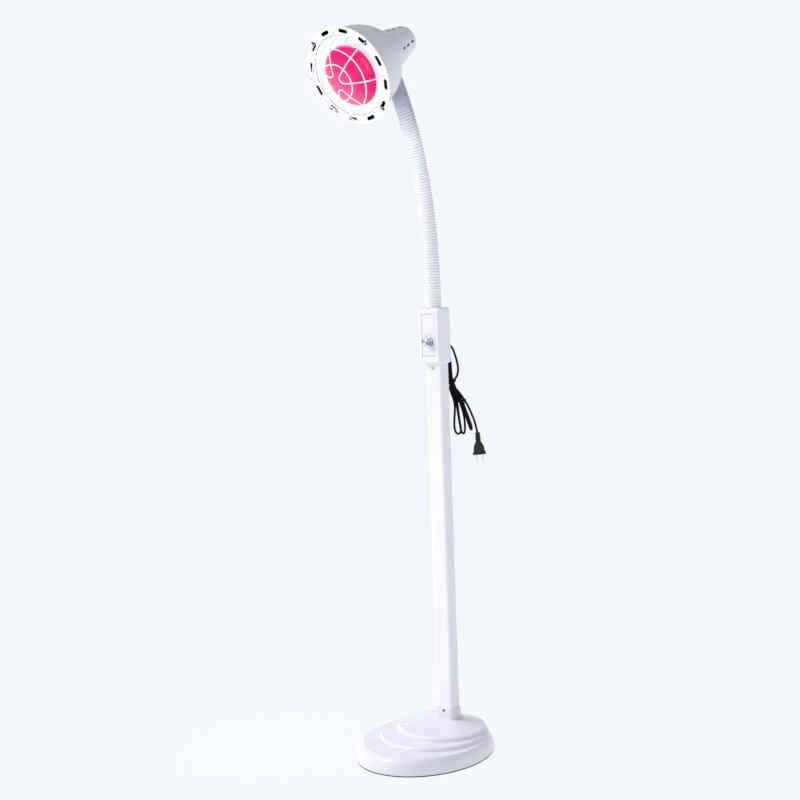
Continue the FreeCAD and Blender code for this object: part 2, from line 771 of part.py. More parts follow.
# ---------------------------------------------------------------- head
# In the head's own frame the lamp axis is Z, growing backwards from the front of the ring,
# and +Y points down and forwards, where the hose comes in.
tilt = math.radians(val("head_tilt"))
lamp_axis = Vector(0, math.cos(tilt), math.sin(tilt))
ring_centre = hose_end - lamp_axis * val("neck_station") + end_direction * val("neck_reach")
HEAD = Placement(ring_centre, Rotation(RIGHT, val("head_tilt") - 90))
print(f"ring centre: y {ring_centre.y:.2f} z {ring_centre.z:.2f}")


CROWN_RADIUS, SHOULDER_RADIUS = 108, 42.6
CROWN_START, CROWN_END = 24, 66
HALF_PETAL = 22.5
crown = Vector(CROWN_START, 0, val("guard_rise") - CROWN_RADIUS)


def on_arc(centre, radius, distance):
    """A point of an arm's side view: its distance from the lamp axis and its rise."""
    return Vector(distance, 0, centre.z + math.sqrt(radius ** 2 - (distance - centre.x) ** 2))


crown_end = on_arc(crown, CROWN_RADIUS, CROWN_END)
shoulder = crown_end + (crown - crown_end) * (SHOULDER_RADIUS / CROWN_RADIUS)


def guard_arm(degrees):
    """Centre line of one guard arm, from its foot behind the ring to its flat inner end."""
    def at(spot):
        return around(degrees) * spot.x + Vector(0, 0, -spot.z)

    foot = Vector(shoulder.x + math.sqrt(SHOULDER_RADIUS ** 2 - (shoulder.z + 6) ** 2), 0, -6)
    lower = [foot, on_arc(shoulder, SHOULDER_RADIUS, 82), crown_end]
    upper = [crown_end, on_arc(crown, CROWN_RADIUS, 46), on_arc(crown, CROWN_RADIUS, CROWN_START)]
    inner = Vector(val("guard_tip"), 0, val("guard_rise"))
    edges = [Part.Arc(*map(at, points)).toShape() for points in (lower, upper)]
    edges.append(Part.LineSegment(at(upper[-1]), at(inner)).toShape())
    return edges, at(foot), at(inner)


def guard_petal(middle):
    """One hairpin of wire: up an arm, round the tip and down the next arm."""
    spread = math.radians(HALF_PETAL)
    first, foot, tip_start = guard_arm(middle - HALF_PETAL)
    second, _, tip_end = guard_arm(middle + HALF_PETAL)
    bend = val("guard_tip") * math.tan(spread)
    reach = val("guard_tip") / math.cos(spread) - bend
    top = around(middle) * reach + Vector(0, 0, -val("guard_rise"))
    bend_arc = Part.Arc(tip_start, top, tip_end).toShape()
    path = Part.Wire(first + [bend_arc] + second[::-1])
    section = Part.Wire(Part.makeCircle(val("wire_radius"), foot, first[0].tangentAt(0)))
    petal = path.makePipeShell([section], True, False)
    expected = math.pi * val("wire_radius") ** 2 * path.Length
    print(f"petal: wire {path.Length:.1f}, volume {petal.Volume:.0f}, expected {expected:.0f}")
    return petal


petals = [fixed(f"guard_petal_{n}", guard_petal(90 * n - 14.5)) for n in range(1, 5)]
guard_petals = group("guard_petals", *petals)


def guard_ring(name, radius):
    """A welded hoop just inside the arms."""
    rise = on_arc(crown, CROWN_RADIUS - 2 * val("wire_radius") + 0.2, val(radius)).z
    hoop = doc.addObject("Part::Torus", name)
    bind(hoop, Radius1=radius, Radius2="wire_radius")
    return place(hoop, z=str(-rise))


guard_rings = group(
    "guard_rings",
    guard_ring("outer_hoop", "guard_ring_outer"),
    guard_ring("inner_hoop", "guard_ring_inner"),
)

RING_SCREWS = [53 + 90 * n for n in range(4)]


def at_ring_screws(name, radius, height, z):
    return [
        cylinder(
            f"{name}_{n}", radius, height,
            str(around(angle).x * 95.8), str(around(angle).y * 95.8), z,
        )
        for n, angle in enumerate(RING_SCREWS, 1)
    ]


ring_body = doc.addObject("PartDesign::Body", "ring_body")
ring_sketch = sketch_in(ring_body, "ring_section")
for radius in ("ring_radius", "ring_inner"):
    circle = ring_sketch.addGeometry(Part.Circle(Vector(), UP, val(radius)))
    ring_sketch.addConstraint(Sketcher.Constraint("Coincident", circle, 3, -1, 1))
    constrain(ring_sketch, radius, "Radius", circle, val(radius))
ring_pad = ring_body.newObject("PartDesign::Pad", "ring_pad")
ring_pad.Profile = ring_sketch
bind(ring_pad, Length="ring_thick")
doc.recompute()
rim_edges = [
    f"Edge{n}" for n, edge in enumerate(ring_pad.Shape.Edges, 1)
    if edge.BoundBox.ZMax < 0.01 and edge.BoundBox.XLength > 2 * val("ring_inner") + 1
]
ring_fillet = ring_body.newObject("PartDesign::Fillet", "ring_fillet")
ring_fillet.Base = (ring_pad, rim_edges)
ring_fillet.Radius = 1
slot_sketch = sketch_in(ring_body, "slot_section")
bind(slot_sketch, AttachmentOffset__Rotation__Angle="slot_phase")
slot_x, slot_r = val("slot_circle"), val("slot_wide") / 2
slot_end = (val("slot_long") - val("slot_wide")) / 2
slot_loop = []
for side in (1, -1):
    x, end = slot_x + side * slot_r, side * slot_end
    line = Part.LineSegment(Vector(x, -end, 0), Vector(x, end, 0))
    turn = 0 if side == 1 else math.pi
    arc = Part.ArcOfCircle(Part.Circle(Vector(slot_x, end, 0), UP, slot_r), turn, turn + math.pi)
    slot_loop += [slot_sketch.addGeometry(line), slot_sketch.addGeometry(arc)]
for piece, after in zip(slot_loop, slot_loop[1:] + slot_loop[:1]):
    slot_sketch.addConstraint(Sketcher.Constraint("Tangent", piece, 2, after, 1))
slot_sketch.addConstraint(Sketcher.Constraint("Vertical", slot_loop[0]))
slot_sketch.addConstraint(Sketcher.Constraint("Symmetric", slot_loop[1], 3, slot_loop[3], 3, -1))
constrain(slot_sketch, "slot_wide / 2", "Radius", slot_loop[1], slot_r)
constrain(slot_sketch, "slot_circle", "DistanceX", -1, 1, slot_loop[1], 3, slot_x)
constrain(
    slot_sketch, "slot_long - slot_wide", "DistanceY", slot_loop[3], 3, slot_loop[1], 3, 2 * slot_end
)
slot_pocket = ring_body.newObject("PartDesign::Pocket", "slot_pocket")
slot_pocket.Profile = slot_sketch
slot_pocket.Reversed = True
slot_pocket.Type = 1
doc.recompute()
slot_pattern = ring_body.newObject("PartDesign::PolarPattern", "slot_pattern")
slot_pattern.Originals = [slot_pocket]
slot_pattern.Axis = (origin_plane(ring_body, "Z_Axis"), [""])
slot_pattern.Angle = 360
slot_pattern.Occurrences = 12
ring_body.Tip = slot_pattern
doc.recompute()
one_slot = (val("slot_long") - val("slot_wide")) * val("slot_wide") + math.pi * slot_r ** 2
removed = ring_fillet.Shape.Volume - slot_pattern.Shape.Volume
print(f"slots remove {removed:.1f}, expected {12 * one_slot * val('ring_thick'):.1f}")

ring_screw_holes = at_ring_screws("ring_screw_hole", "1.25", "6", "-1")
keep(less("front_ring", ring_body, guard_petals, *ring_screw_holes), HEAD)
keep(guard_petals, HEAD)
keep(guard_rings, HEAD)
ring_screws = [
    joined(f"ring_screw_{n}", head, shaft)
    for n, (head, shaft) in enumerate(
        zip(
            at_ring_screws("ring_screw_head", "2.2", "1.3", "-1.3"),
            at_ring_screws("ring_screw_shaft", "1.2", "4.6", "-0.1"),
        ),
        1,
    )
]
keep(group("ring_screws", *ring_screws), HEAD)

# The bell and the reflector are drawn as (radius, station) points of their outer sides.
BELL = [
    (96, val("ring_thick")), (92, 15), (88, 30), (80, 60), (68.3, 85), (53.5, 106),
    (46, val("bell_rear")),
]
bell_outside = spun("bell_outside", BELL)
bell_hollow = inside(BELL, val("bell_wall"), val("ring_thick"), val("bell_rear") - val("bell_wall"))
bell_inside = spun("bell_inside", bell_hollow)
rear_opening = cylinder("bell_rear_opening", "34", "20", z="bell_rear - 10")
boss_blank = cylinder(
    "boss_blank", "ferrule_radius", "neck_reach - 6 - 34", y="34", z="neck_station", axis=BACKWARD
)
boss = less("neck_boss", boss_blank, bell_inside)
boss_bore = cylinder(
    "boss_bore", "stem_radius + 0.1", "60", y="20", z="neck_station", axis=BACKWARD
)
bell_wall = less("bell_shell", bell_outside, bell_inside)
rim_lip = washer("rim_lip", "98.5", "94.2", "2.5", "ring_thick")
bell_solid = joined("bell_solid", bell_wall, rim_lip, boss)
lip_bores = at_ring_screws("lip_bore", "1.25", "4.2", "ring_thick - 0.5")
keep(less("shade_bell", bell_solid, rear_opening, boss_bore, *lip_bores), HEAD)

REFLECTOR = [
    (81, val("ring_thick")), (76.5, 30), (67, 60), (54.5, 85), (42, 103),
    (36, val("bell_rear") - val("bell_wall")),
]
reflector_outside = spun("reflector_outside", REFLECTOR)
reflector_hollow = inside(REFLECTOR, 1, REFLECTOR[0][1], REFLECTOR[-1][1])
reflector_inside = spun("reflector_inside", reflector_hollow)
reflector_wall = less("reflector_wall", reflector_outside, reflector_inside)
reflector_lip = washer("reflector_lip", "ring_inner + 3", "ring_inner - 0.9", "0.8", "ring_thick")
keep(joined("reflector", reflector_wall, reflector_lip), HEAD)


def housing_cone(name, inset, edge):
    """The tapered rear housing as a solid; inset makes its inner side."""
    cone = doc.addObject("Part::Cone", name + "_cone")
    bind(
        cone,
        Radius1=f"housing_front_radius - {inset}",
        Radius2=f"housing_rear_radius - {inset}",
        Height=f"housing_rear - bell_rear - {inset}",
    )
    place(cone, z="bell_rear")
    doc.recompute()
    rear = cone.Shape.BoundBox.ZMax
    return rounded(name, cone, edge, lambda line: line.BoundBox.ZMin > rear - 0.1)


housing_shell = less(
    "housing_shell",
    housing_cone("housing_outside", "0", 8),
    housing_cone("housing_inside", "housing_wall", 6),
)
VENT_WIDE, VENT_LONG = 4.2, 11
VENT_FIRST, VENT_ROWS = 59, 5
vents = []
for row in range(VENT_ROWS):
    for station in (136, 154, 174):
        corner = Vector(-VENT_WIDE / 2, 15, station - VENT_LONG / 2)
        vent = Part.makeBox(VENT_WIDE, 40, VENT_LONG, corner)
        vent.rotate(Vector(), UP, VENT_FIRST + 360 / VENT_ROWS * row)
        vents.append(vent)
vent_slots = fixed("vent_slots", Part.makeCompound(vents))
notch = cylinder("boss_notch", "ferrule_radius + 1.2", "70", z="neck_station", axis=BACKWARD)
BRACKET_POSTS = [-16.5, 16.5]
bracket_posts = [
    cylinder(
        f"bracket_post_{n}", "3.2", "housing_rear - holder_front - 50",
        str(x), z="holder_front + 48.5",
    )
    for n, x in enumerate(BRACKET_POSTS, 1)
]
bracket_threads = [
    cylinder(f"bracket_thread_{n}", "1.25", "5", str(x), z="holder_front + 48")
    for n, x in enumerate(BRACKET_POSTS, 1)
]
housing_cut = less("housing_cut", housing_shell, vent_slots, notch)
housing_solid = joined("housing_solid", housing_cut, *bracket_posts)
keep(less("rear_housing", housing_solid, *bracket_threads), HEAD)

ceramic = joined(
    "ceramic",
    cylinder("ceramic_front", "22", "25", z="holder_front"),
    cylinder("ceramic_middle", "17", "12.1", z="holder_front + 24.9"),
    cylinder("ceramic_rear", "12", "10.1", z="holder_front + 36.9"),
)
keep(less("lamp_holder", ceramic, cylinder("ceramic_bore", "14.3", "29", z="holder_front")), HEAD)
holder_cup = less(
    "holder_shell",
    cylinder("thread_outside", "14.2", "26", z="holder_front + 3"),
    cylinder("thread_inside", "13.35", "24.8", z="holder_front + 3"),
)
keep(holder_cup, HEAD)
strap = block("strap", "40", "14", "1.5", z="holder_front + 47")
strap_holes = [
    cylinder(f"strap_hole_{n}", "1.4", "5", str(x), z="holder_front + 45")
    for n, x in enumerate(BRACKET_POSTS, 1)
]
keep(less("holder_bracket", strap, *strap_holes), HEAD)
holder_screws = [
    joined(
        f"holder_screw_{n}",
        cylinder(f"holder_screw_head_{n}", "2.8", "1.8", str(x), z="holder_front + 45.2"),
        cylinder(f"holder_screw_shaft_{n}", "1.2", "5.5", str(x), z="holder_front + 46.9"),
    )
    for n, x in enumerate(BRACKET_POSTS, 1)
]
keep(group("holder_screws", *holder_screws), HEAD)

# ---------------------------------------------------------------- bulb
def bulb_solid(name, inset):
    """The bulb's envelope: a shallow dome, a rounded edge and a long taper to the cap."""
    dome_radius, edge_radius = 157, 8
    dome_centre = dome_radius - val("bulb_dome")
    edge_centre = Vector(val("bulb_radius") - edge_radius, 0, 0)
    reach = dome_radius - edge_radius
    edge_centre.z = dome_centre - math.sqrt(reach ** 2 - edge_centre.x ** 2)
    toward = (edge_centre - Vector(0, 0, dome_centre)).normalize()

    def on_dome(fraction):
        angle = math.atan2(toward.x, -toward.z) * fraction
        radius = dome_radius - inset
        return Vector(radius * math.sin(angle), 0, dome_centre - radius * math.cos(angle))

    def on_edge(degrees):
        angle = math.radians(degrees)
        spot = Vector(math.cos(angle), 0, math.sin(angle))
        return edge_centre + spot * (edge_radius - inset)

    leave = on_edge(27)
    taper = [(50, 38), (40, 61), (30.5, 83), (23, 103), (19.5, 117), (17.5, 127)]
    flank = [leave] + [Vector(radius - inset, 0, station) for radius, station in taper]
    neck_end = Vector(13.2 - inset, 0, val("holder_front") - 1.5)
    side = Part.BSplineCurve()
    side.interpolate(flank + [neck_end])
    outline = [
        Part.Arc(on_dome(0), on_dome(0.5), on_dome(1)).toShape(),
        Part.Arc(on_dome(1), on_edge(-20), leave).toShape(),
        side.toShape(),
        Part.makePolygon([neck_end, Vector(0, 0, neck_end.z), on_dome(0)]),
    ]
    face = Part.Face(Part.Wire(outline))
    return fixed(name, face.revolve(Vector(), UP, 360))


keep(less("bulb_glass", bulb_solid("bulb_outside", 0), bulb_solid("bulb_inside", 1.2)), HEAD)
cap = joined(
    "bulb_cap",
    cylinder("cap_thread", "13.2", "24", z="holder_front - 1.5"),
    cylinder("cap_insulator", "8", "3.1", z="holder_front + 22.4"),
    cylinder("cap_contact", "4.5", "2.4", z="holder_front + 25.4"),
)
keep(cap, HEAD)
stem_glass = cylinder("filament_stem", "5", "holder_front - 81.5", z="80")
supports = [
    cylinder(f"filament_support_{n}", "0.5", "39", str(x), z="41") for n, x in enumerate((-3, 3), 1)
]
coil = doc.addObject("Part::Torus", "filament_coil")
coil.Radius1 = 12
coil.Radius2 = 0.8
coil.Placement = Placement(Vector(0, 0, 41.2), Rotation())
leads = [
    cylinder(f"filament_arm_{n}", "0.5", "11", str(2.6 * side), z="41.3", axis=RIGHT * side)
    for n, side in enumerate((-1, 1), 1)
]
keep(group("bulb_filament", joined("filament", stem_glass, *supports, *leads, coil)), HEAD)

# ---------------------------------------------------------------- power cord
def cord_route(points, name):
    """The path of a hand-laid cord: straight runs joined by the largest arcs that fit."""
    edges, start = [], points[0]
    for before, corner, after in zip(points, points[1:], points[2:]):
        back, on = before - corner, after - corner
        reach = 0.45 * min(back.Length, on.Length)
        half_angle = back.getAngle(on) / 2
        radius = reach * math.tan(half_angle)
        back.normalize()
        on.normalize()
        middle = (back + on).normalize()
        arc_start, arc_end = corner + back * reach, corner + on * reach
        nearest = corner + middle * (radius / math.sin(half_angle) - radius)
        edges.append(Part.LineSegment(start, arc_start).toShape())
        edges.append(Part.Arc(arc_start, nearest, arc_end).toShape())
        start = arc_end
        print(f"{name}: turn {180 - math.degrees(2 * half_angle):.0f} degrees, radius {radius:.1f}")
    edges.append(Part.LineSegment(start, points[-1]).toShape())
    return Part.Wire(edges)


def cord_tube(name, points):
    route = cord_route(points, name)
    section = Part.Wire(Part.makeCircle(val("cord_radius"), points[0], points[1] - points[0]))
    tube = route.makePipeShell([section], True, False)
    expected = math.pi * val("cord_radius") ** 2 * route.Length
    print(f"{name}: length {route.Length:.1f}, volume {tube.Volume:.0f}, expected {expected:.0f}")
    return keep(fixed(name, tube))


relief_turn = Vector(0, val("box_back") + 1.5, val("relief_high"))
relief_tip = Vector(0, 36.5, 851)
relief_cone = fixed(
    "relief_cone",
    Part.makeCone(4.3, 2.7, (relief_tip - relief_turn).Length, relief_turn, relief_tip - relief_turn),
)
relief_knee = ball("relief_knee", "4.3", y="box_back + 1.5", z="relief_high")
relief_sleeve = cylinder("relief_sleeve", "4.3", "5", y="box_back - 3.5", z="relief_high", axis=BACKWARD)
relief_grip = cylinder(
    "relief_grip", "6.5", "2.5", y="box_back - box_wall - 2.5", z="relief_high", axis=BACKWARD
)
keep(joined("cord_relief", relief_cone, relief_knee, relief_sleeve, relief_grip))

LEAD = [
    relief_tip,
    Vector(0, 44.5, 848),
    Vector(0.5, 51, 840.5),
    Vector(1, 56.5, 829),
    Vector(2, 61.5, 815),
    Vector(3, 64, 801),
    Vector(3.5, 63, 789.5),
    Vector(3, 57.5, 780.5),
    Vector(2, 50, 775.5),
]
cord_tube("cord_lead", LEAD)

# The spare cord is folded into a flat hank that spreads sideways and backwards as it hangs.
HANK_TURN = 55
HANK = [
    (811, 0, 32, 7.5, 5),
    (773, 0, 42.5, 9, 6),
    (736, 8, 59, 13, 8),
    (672, 12, 63.5, 20.5, 7),
    (657, 12.5, 64, 15, 5),
]


def hank_section(name, level, x, y, half_wide, half_deep):
    return oval(name, str(half_wide), str(half_deep), str(x), str(y), str(level), HANK_TURN)


hank_outlines = [hank_section(f"hank_outline_{n}", *row) for n, row in enumerate(HANK, 1)]
hank = lofted("cord_hank", *hank_outlines)
keep(hank)

TAIL = [
    Vector(7, 55, 752),
    Vector(9.5, 64, 739),
    Vector(14, 76.5, 722),
    Vector(18.3, 86.9, 698),
    Vector(21.9, 93.8, 677.5),
    Vector(23.6, 97, 658.5),
]
tail = cord_tube("cord_tail", TAIL)


def tie(name, row, high):
    """A wire tie wrapped round the hank."""
    level, x, y, half_wide, half_deep = row
    outline = hank_section(name + "_outline", level - high / 2, x, y, half_wide + 1.6, half_deep + 1.6)
    return less(name, slab(name + "_band", outline, str(high)), hank, tail)


keep(group("cord_ties", tie("upper_tie", HANK[1], 9), tie("lower_tie", HANK[2], 8)))

# ---------------------------------------------------------------- plug
# In the plug's own frame Z runs from the cord towards the blades, and X is its wide side.
plug_axis = Vector(0.042, 0.05, -1).normalize()
plug_side = Vector(0.731, 0.682, 0)
plug_side = (plug_side - plug_axis * plug_side.dot(plug_axis)).normalize()
plug_depth = plug_axis.cross(plug_side)
PLUG = Placement(TAIL[-1], Rotation(plug_side, plug_depth, plug_axis, "ZXY"))

plug_sleeve = doc.addObject("Part::Cone", "plug_sleeve")
plug_sleeve.Radius1 = 5.4
plug_sleeve.Radius2 = 6.3
plug_sleeve.Height = 20.5
plug_shoulder = lofted(
    "plug_shoulder",
    oval("plug_outline_1", "6.2", "5.6", z="20"),
    oval("plug_outline_2", "9", "6.6", z="27"),
    oval("plug_outline_3", "11.8", "7.2", z="36"),
    oval("plug_outline_4", "12.6", "7.4", z="43"),
)
plug_flange = prism("plug_flange", "28.6", "15.5", "6", "42.5", "5")
plug_solid = joined("plug_solid", plug_sleeve, plug_shoulder, plug_flange)


def blade_pair(name):
    """Two flat blades, or the two slots that hold them."""
    return [
        block(f"{name}_{n}", "1.5", "6.3", "21", x=str(side * 6.35), z="42.5")
        for n, side in enumerate((-1, 1), 1)
    ]


keep(less("plug_body", plug_solid, *blade_pair("blade_slot")), PLUG)
keep(group("plug_blades", *blade_pair("plug_blade")), PLUG)

# ---------------------------------------------------------------- check and write
doc.recompute()
failed = [obj.Name for obj in doc.Objects if {"Invalid", "Error"} & set(obj.State)]
if failed:
    raise SystemExit(f"these objects failed: {failed}")
for piece in SUBPARTS:
    if piece.Shape.isNull() or not piece.Shape.isValid():
        raise SystemExit(f"{piece.Label} has no valid shape")
    if not piece.Shape.Solids:
        raise SystemExit(f"{piece.Label} has no solid")
for piece in SUBPARTS:
    piece.Shape.exportStep(f"parts/{piece.Label}.step")
    box = piece.Shape.BoundBox
    print(
        f"{piece.Label:20s} solids {len(piece.Shape.Solids)} volume {piece.Shape.Volume:10.0f}"
        f"  x {box.XMin:7.1f} {box.XMax:7.1f}  y {box.YMin:7.1f} {box.YMax:7.1f}"
        f"  z {box.ZMin:7.1f} {box.ZMax:7.1f}"
    )
print(f"{len(SUBPARTS)} sub-parts")
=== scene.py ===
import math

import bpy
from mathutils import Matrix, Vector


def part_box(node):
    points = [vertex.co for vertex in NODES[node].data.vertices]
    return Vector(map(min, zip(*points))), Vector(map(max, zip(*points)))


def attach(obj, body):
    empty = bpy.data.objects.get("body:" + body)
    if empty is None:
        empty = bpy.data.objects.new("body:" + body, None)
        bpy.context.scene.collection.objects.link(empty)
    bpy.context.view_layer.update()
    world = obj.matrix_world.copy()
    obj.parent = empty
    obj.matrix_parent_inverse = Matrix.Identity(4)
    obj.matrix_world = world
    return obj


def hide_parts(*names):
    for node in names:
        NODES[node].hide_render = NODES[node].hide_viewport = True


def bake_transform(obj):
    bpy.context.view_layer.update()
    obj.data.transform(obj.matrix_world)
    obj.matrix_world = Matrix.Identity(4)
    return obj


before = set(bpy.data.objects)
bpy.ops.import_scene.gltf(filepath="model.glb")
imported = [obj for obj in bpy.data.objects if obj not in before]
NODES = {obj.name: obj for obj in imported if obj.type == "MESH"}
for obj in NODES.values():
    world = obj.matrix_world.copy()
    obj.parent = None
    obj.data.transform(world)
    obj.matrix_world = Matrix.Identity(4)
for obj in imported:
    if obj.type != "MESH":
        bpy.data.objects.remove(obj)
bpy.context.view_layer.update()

# %% [markdown]
# # A gooseneck heat lamp, dressed around its CAD model
#
# The CAD model gives every rigid piece its place and size, in metres. This lesson adds what CAD
# leaves out: the ribbed hose, the folded power cord, the moulded plug, the knob, and a finish
# for every surface. Each piece is built where the CAD says, and all but the hose lengths are then
# told which body carries them.

MM = 0.001


def mm(x, y, z):
    """A point given in millimetres, as a vector in metres."""
    return Vector((x, y, z)) * MM


def mesh_object(name, points, faces, smooth=True):
    """A new mesh object from corner points and faces."""
    mesh = bpy.data.meshes.new(name)
    mesh.from_pydata([tuple(p) for p in points], [], faces)
    mesh.update()
    for polygon in mesh.polygons:
        polygon.use_smooth = smooth
    piece = bpy.data.objects.new(name, mesh)
    bpy.context.scene.collection.objects.link(piece)
    return piece


def grid_faces(rings, around, closed=False, capped=False):
    """Quads between rings of points; closed joins last to first, capped fills both ends."""
    faces = []
    for ring in range(rings if closed else rings - 1):
        low, high = ring * around, (ring + 1) % rings * around
        for n in range(around):
            after = (n + 1) % around
            faces.append((low + n, low + after, high + after, high + n))
    if capped:
        faces.append(tuple(reversed(range(around))))
        faces.append(tuple(range((rings - 1) * around, rings * around)))
    return faces


def round_cord(name, points, radius, steps, roundness):
    """A round cord along control points, as a NURBS curve with its thickness on the points."""
    curve = bpy.data.curves.new(name, "CURVE")
    curve.dimensions = "3D"
    spline = curve.splines.new("NURBS")
    spline.points.add(len(points) - 1)
    for knot, point in zip(spline.points, points):
        knot.co = (*point, 1)
        knot.radius = radius
    spline.order_u = 3
    spline.use_endpoint_u = True
    spline.resolution_u = steps
    curve.bevel_depth = 1
    curve.bevel_resolution = roundness
    curve.use_fill_caps = True
    piece = bpy.data.objects.new(name, curve)
    bpy.context.scene.collection.objects.link(piece)
    return piece


print("CAD nodes:", len(NODES))

# %% [markdown]
# ## Camera
#
# The lamp is seen from its front right, a little above the middle of the column, with the camera
# tipped slightly downwards and rolled by two degrees. A fairly long lens keeps the column's
# sides nearly parallel, which is how tall products are usually pictured. A camera can be aimed by
# a constraint, but that leaves out the roll, so its three directions are worked out here.

# %% Camera
TURN, DIP, ROLL = math.radians(43), math.radians(4.5), math.radians(2.06)
CAMERA_AT, LENS_MM, SENSOR_MM = (1.799, -2.047, 0.953), 58.5, 36
across = Vector((math.cos(TURN), math.sin(TURN), 0))
level = Vector((-math.sin(TURN), math.cos(TURN), 0))
sight = level * math.cos(DIP) - Vector((0, 0, 1)) * math.sin(DIP)
upright = level * math.sin(DIP) + Vector((0, 0, 1)) * math.cos(DIP)
camera_x = across * math.cos(ROLL) - upright * math.sin(ROLL)
camera_y = across * math.sin(ROLL) + upright * math.cos(ROLL)
camera = bpy.data.objects.new("camera", bpy.data.cameras.new("camera"))
camera.data.lens = LENS_MM
camera.data.sensor_width = SENSOR_MM
camera.data.dof.use_dof = False
turned = Matrix((camera_x, camera_y, -sight)).transposed().to_4x4()
camera.matrix_world = Matrix.Translation(CAMERA_AT) @ turned
bpy.context.scene.collection.objects.link(camera)
bpy.context.scene.camera = camera
print("camera at", [round(x, 3) for x in camera.location])

# %% [markdown]
# ## Power cord
#
# The cord leaves a boot at the back of the control box, drops in a short bow, and is folded into
# a hank of three long loops that hangs behind the column. Its last stretch falls free to the plug.
# A swept mesh would do for a straight lead, and a simulation would settle one by itself, but
# neither keeps these loops where they are bundled. A cord is one length of something flexible, so
# it is one NURBS curve: its control points are listed, and it stays smooth however they move.
# `back` and `side` below are the two level directions of the view, which makes loops easy to lay
# beside or behind each other. The thickness is set on the points and the bevel is 1, because a
# curve's own box grows by its points' radius.

# %% Cord route
def strand(side, back, height):
    """A cord point from its distance to the right and behind, and its height, in millimetres."""
    return across * side * MM + level * back * MM + Vector((0, 0, height * MM))


lead = [
    mm(0, 34, 851.8), mm(0, 44, 848.5), mm(0.5, 51.5, 841.5), mm(1, 57, 829), mm(2, 61.8, 815),
    mm(3, 64.2, 801), mm(3.5, 62.8, 789), mm(3, 57.3, 780),
]
first_loop = [
    (36.5, 42, 774), (30.5, 43.5, 767.5), (26, 42.5, 758), (29.5, 40.5, 746), (34.3, 37.5, 733),
    (36.4, 34.5, 718), (34.8, 34, 700), (33.2, 34, 682), (34, 34.5, 667), (38.5, 38, 658.5),
    (45.5, 43.5, 658.5), (48.5, 46.5, 666), (46, 47, 684), (43.5, 46.5, 704), (42.5, 43.5, 722),
    (38.5, 43, 742), (32.5, 36, 760), (28, 27, 779), (25.5, 16.5, 797), (24.8, 15.5, 811),
]
second_loop = [
    (24, 19.5, 819.5), (23, 27.5, 819.5), (22.5, 31.5, 811), (22.8, 32, 797), (24.5, 34, 779),
    (28, 36, 761), (35.5, 37.5, 742), (40, 38.5, 722), (42.3, 40.5, 704), (44.5, 41, 687),
    (46.8, 40.5, 671), (49, 37, 661), (52.5, 31, 659), (55.5, 26.5, 665), (55.8, 26.5, 682),
    (54.3, 28, 700), (50, 29.5, 717), (42, 31.5, 741), (35.5, 29, 760), (31, 22, 779),
    (29.5, 16, 797), (29, 15, 812),
]
third_loop = [
    (28.5, 19, 821), (27.8, 27.5, 821), (27.5, 31.5, 812), (28, 32, 797), (31.5, 33, 779),
    (37.5, 33.5, 760), (44.8, 36.5, 741), (51.5, 34.5, 722), (57.5, 33, 703), (61.8, 32, 686),
    (66, 32.5, 673.5), (68.5, 36.5, 666.5), (71, 44, 666.5), (71, 49.5, 673.5), (66.5, 49.5, 687),
    (61, 48, 704), (54.5, 45.5, 723), (46, 42.5, 742), (36.5, 40.5, 761), (30.5, 37.5, 779),
    (29.5, 38.5, 797), (28, 39, 811),
]
last_run = [
    (25, 38.5, 819), (19, 36, 819), (17, 34, 810), (17.5, 32.5, 796), (20.5, 29.5, 778),
    (33, 23.5, 763), (43.5, 28.5, 751), (52.5, 34.5, 738),
]
tail = [mm(14, 76.5, 722), mm(18.3, 86.9, 698), mm(21.9, 93.8, 677.5), mm(23.7, 97.2, 656)]
hank = [strand(*point) for point in first_loop + second_loop + third_loop + last_run]
route = lead + hank + tail

# %% Cord curve
CORD_WIDE = 4.6 * MM
cord = round_cord("power_cord", route, CORD_WIDE / 2, steps=6, roundness=5)

# The same curve without a bevel gives a mesh along the middle of the cord.
bare = cord.data.copy()
bare.bevel_depth = 0
probe = bpy.data.objects.new("probe", bare)
bpy.context.scene.collection.objects.link(probe)
line = bpy.data.meshes.new_from_object(probe.evaluated_get(bpy.context.evaluated_depsgraph_get()))
bpy.data.objects.remove(probe)
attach(cord, "stand")
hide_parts("cord_lead", "cord_hank", "cord_tail")

# %% [markdown]
# ## Plug
#
# The moulded plug grows out of the cord in a ribbed sleeve, widens into a body that fingers can
# grip, and ends in a flat rim with two blades. Boxes and cylinders joined by Booleans would show
# their seams, so it is lofted from rounded outlines along its own axis: each row gives a distance
# from the cord, two half widths and how square the outline is. The sleeve's grooves are made by
# letting the half widths dip every few millimetres.

# %% Plug
OUTLINE_AROUND = 48
SLEEVE_RINGS, SLEEVE_START, SLEEVE_WIDE, SLEEVE_GROWTH = 4, 0.9, 5.4, 0.2
RING_STEP, RING_DIP = 4.7, 1.2


def outline(half_wide, half_deep, square, height):
    """A rounded outline between an oval (2) and a box (large), at a height on the Z axis."""
    ring = []
    for n in range(OUTLINE_AROUND):
        angle = 2 * math.pi * n / OUTLINE_AROUND
        c, s = math.cos(angle), math.sin(angle)
        x = math.copysign(abs(c) ** (2 / square), c) * half_wide
        y = math.copysign(abs(s) ** (2 / square), s) * half_deep
        ring.append(Vector((x, y, height)) * MM)
    return ring


def lofted(name, rows, placement):
    """A closed body through (height, half_wide, half_deep, square) rows."""
    points = []
    for height, half_wide, half_deep, square in rows:
        points += [placement @ p for p in outline(half_wide, half_deep, square, height)]
    return mesh_object(name, points, grid_faces(len(rows), OUTLINE_AROUND, capped=True))


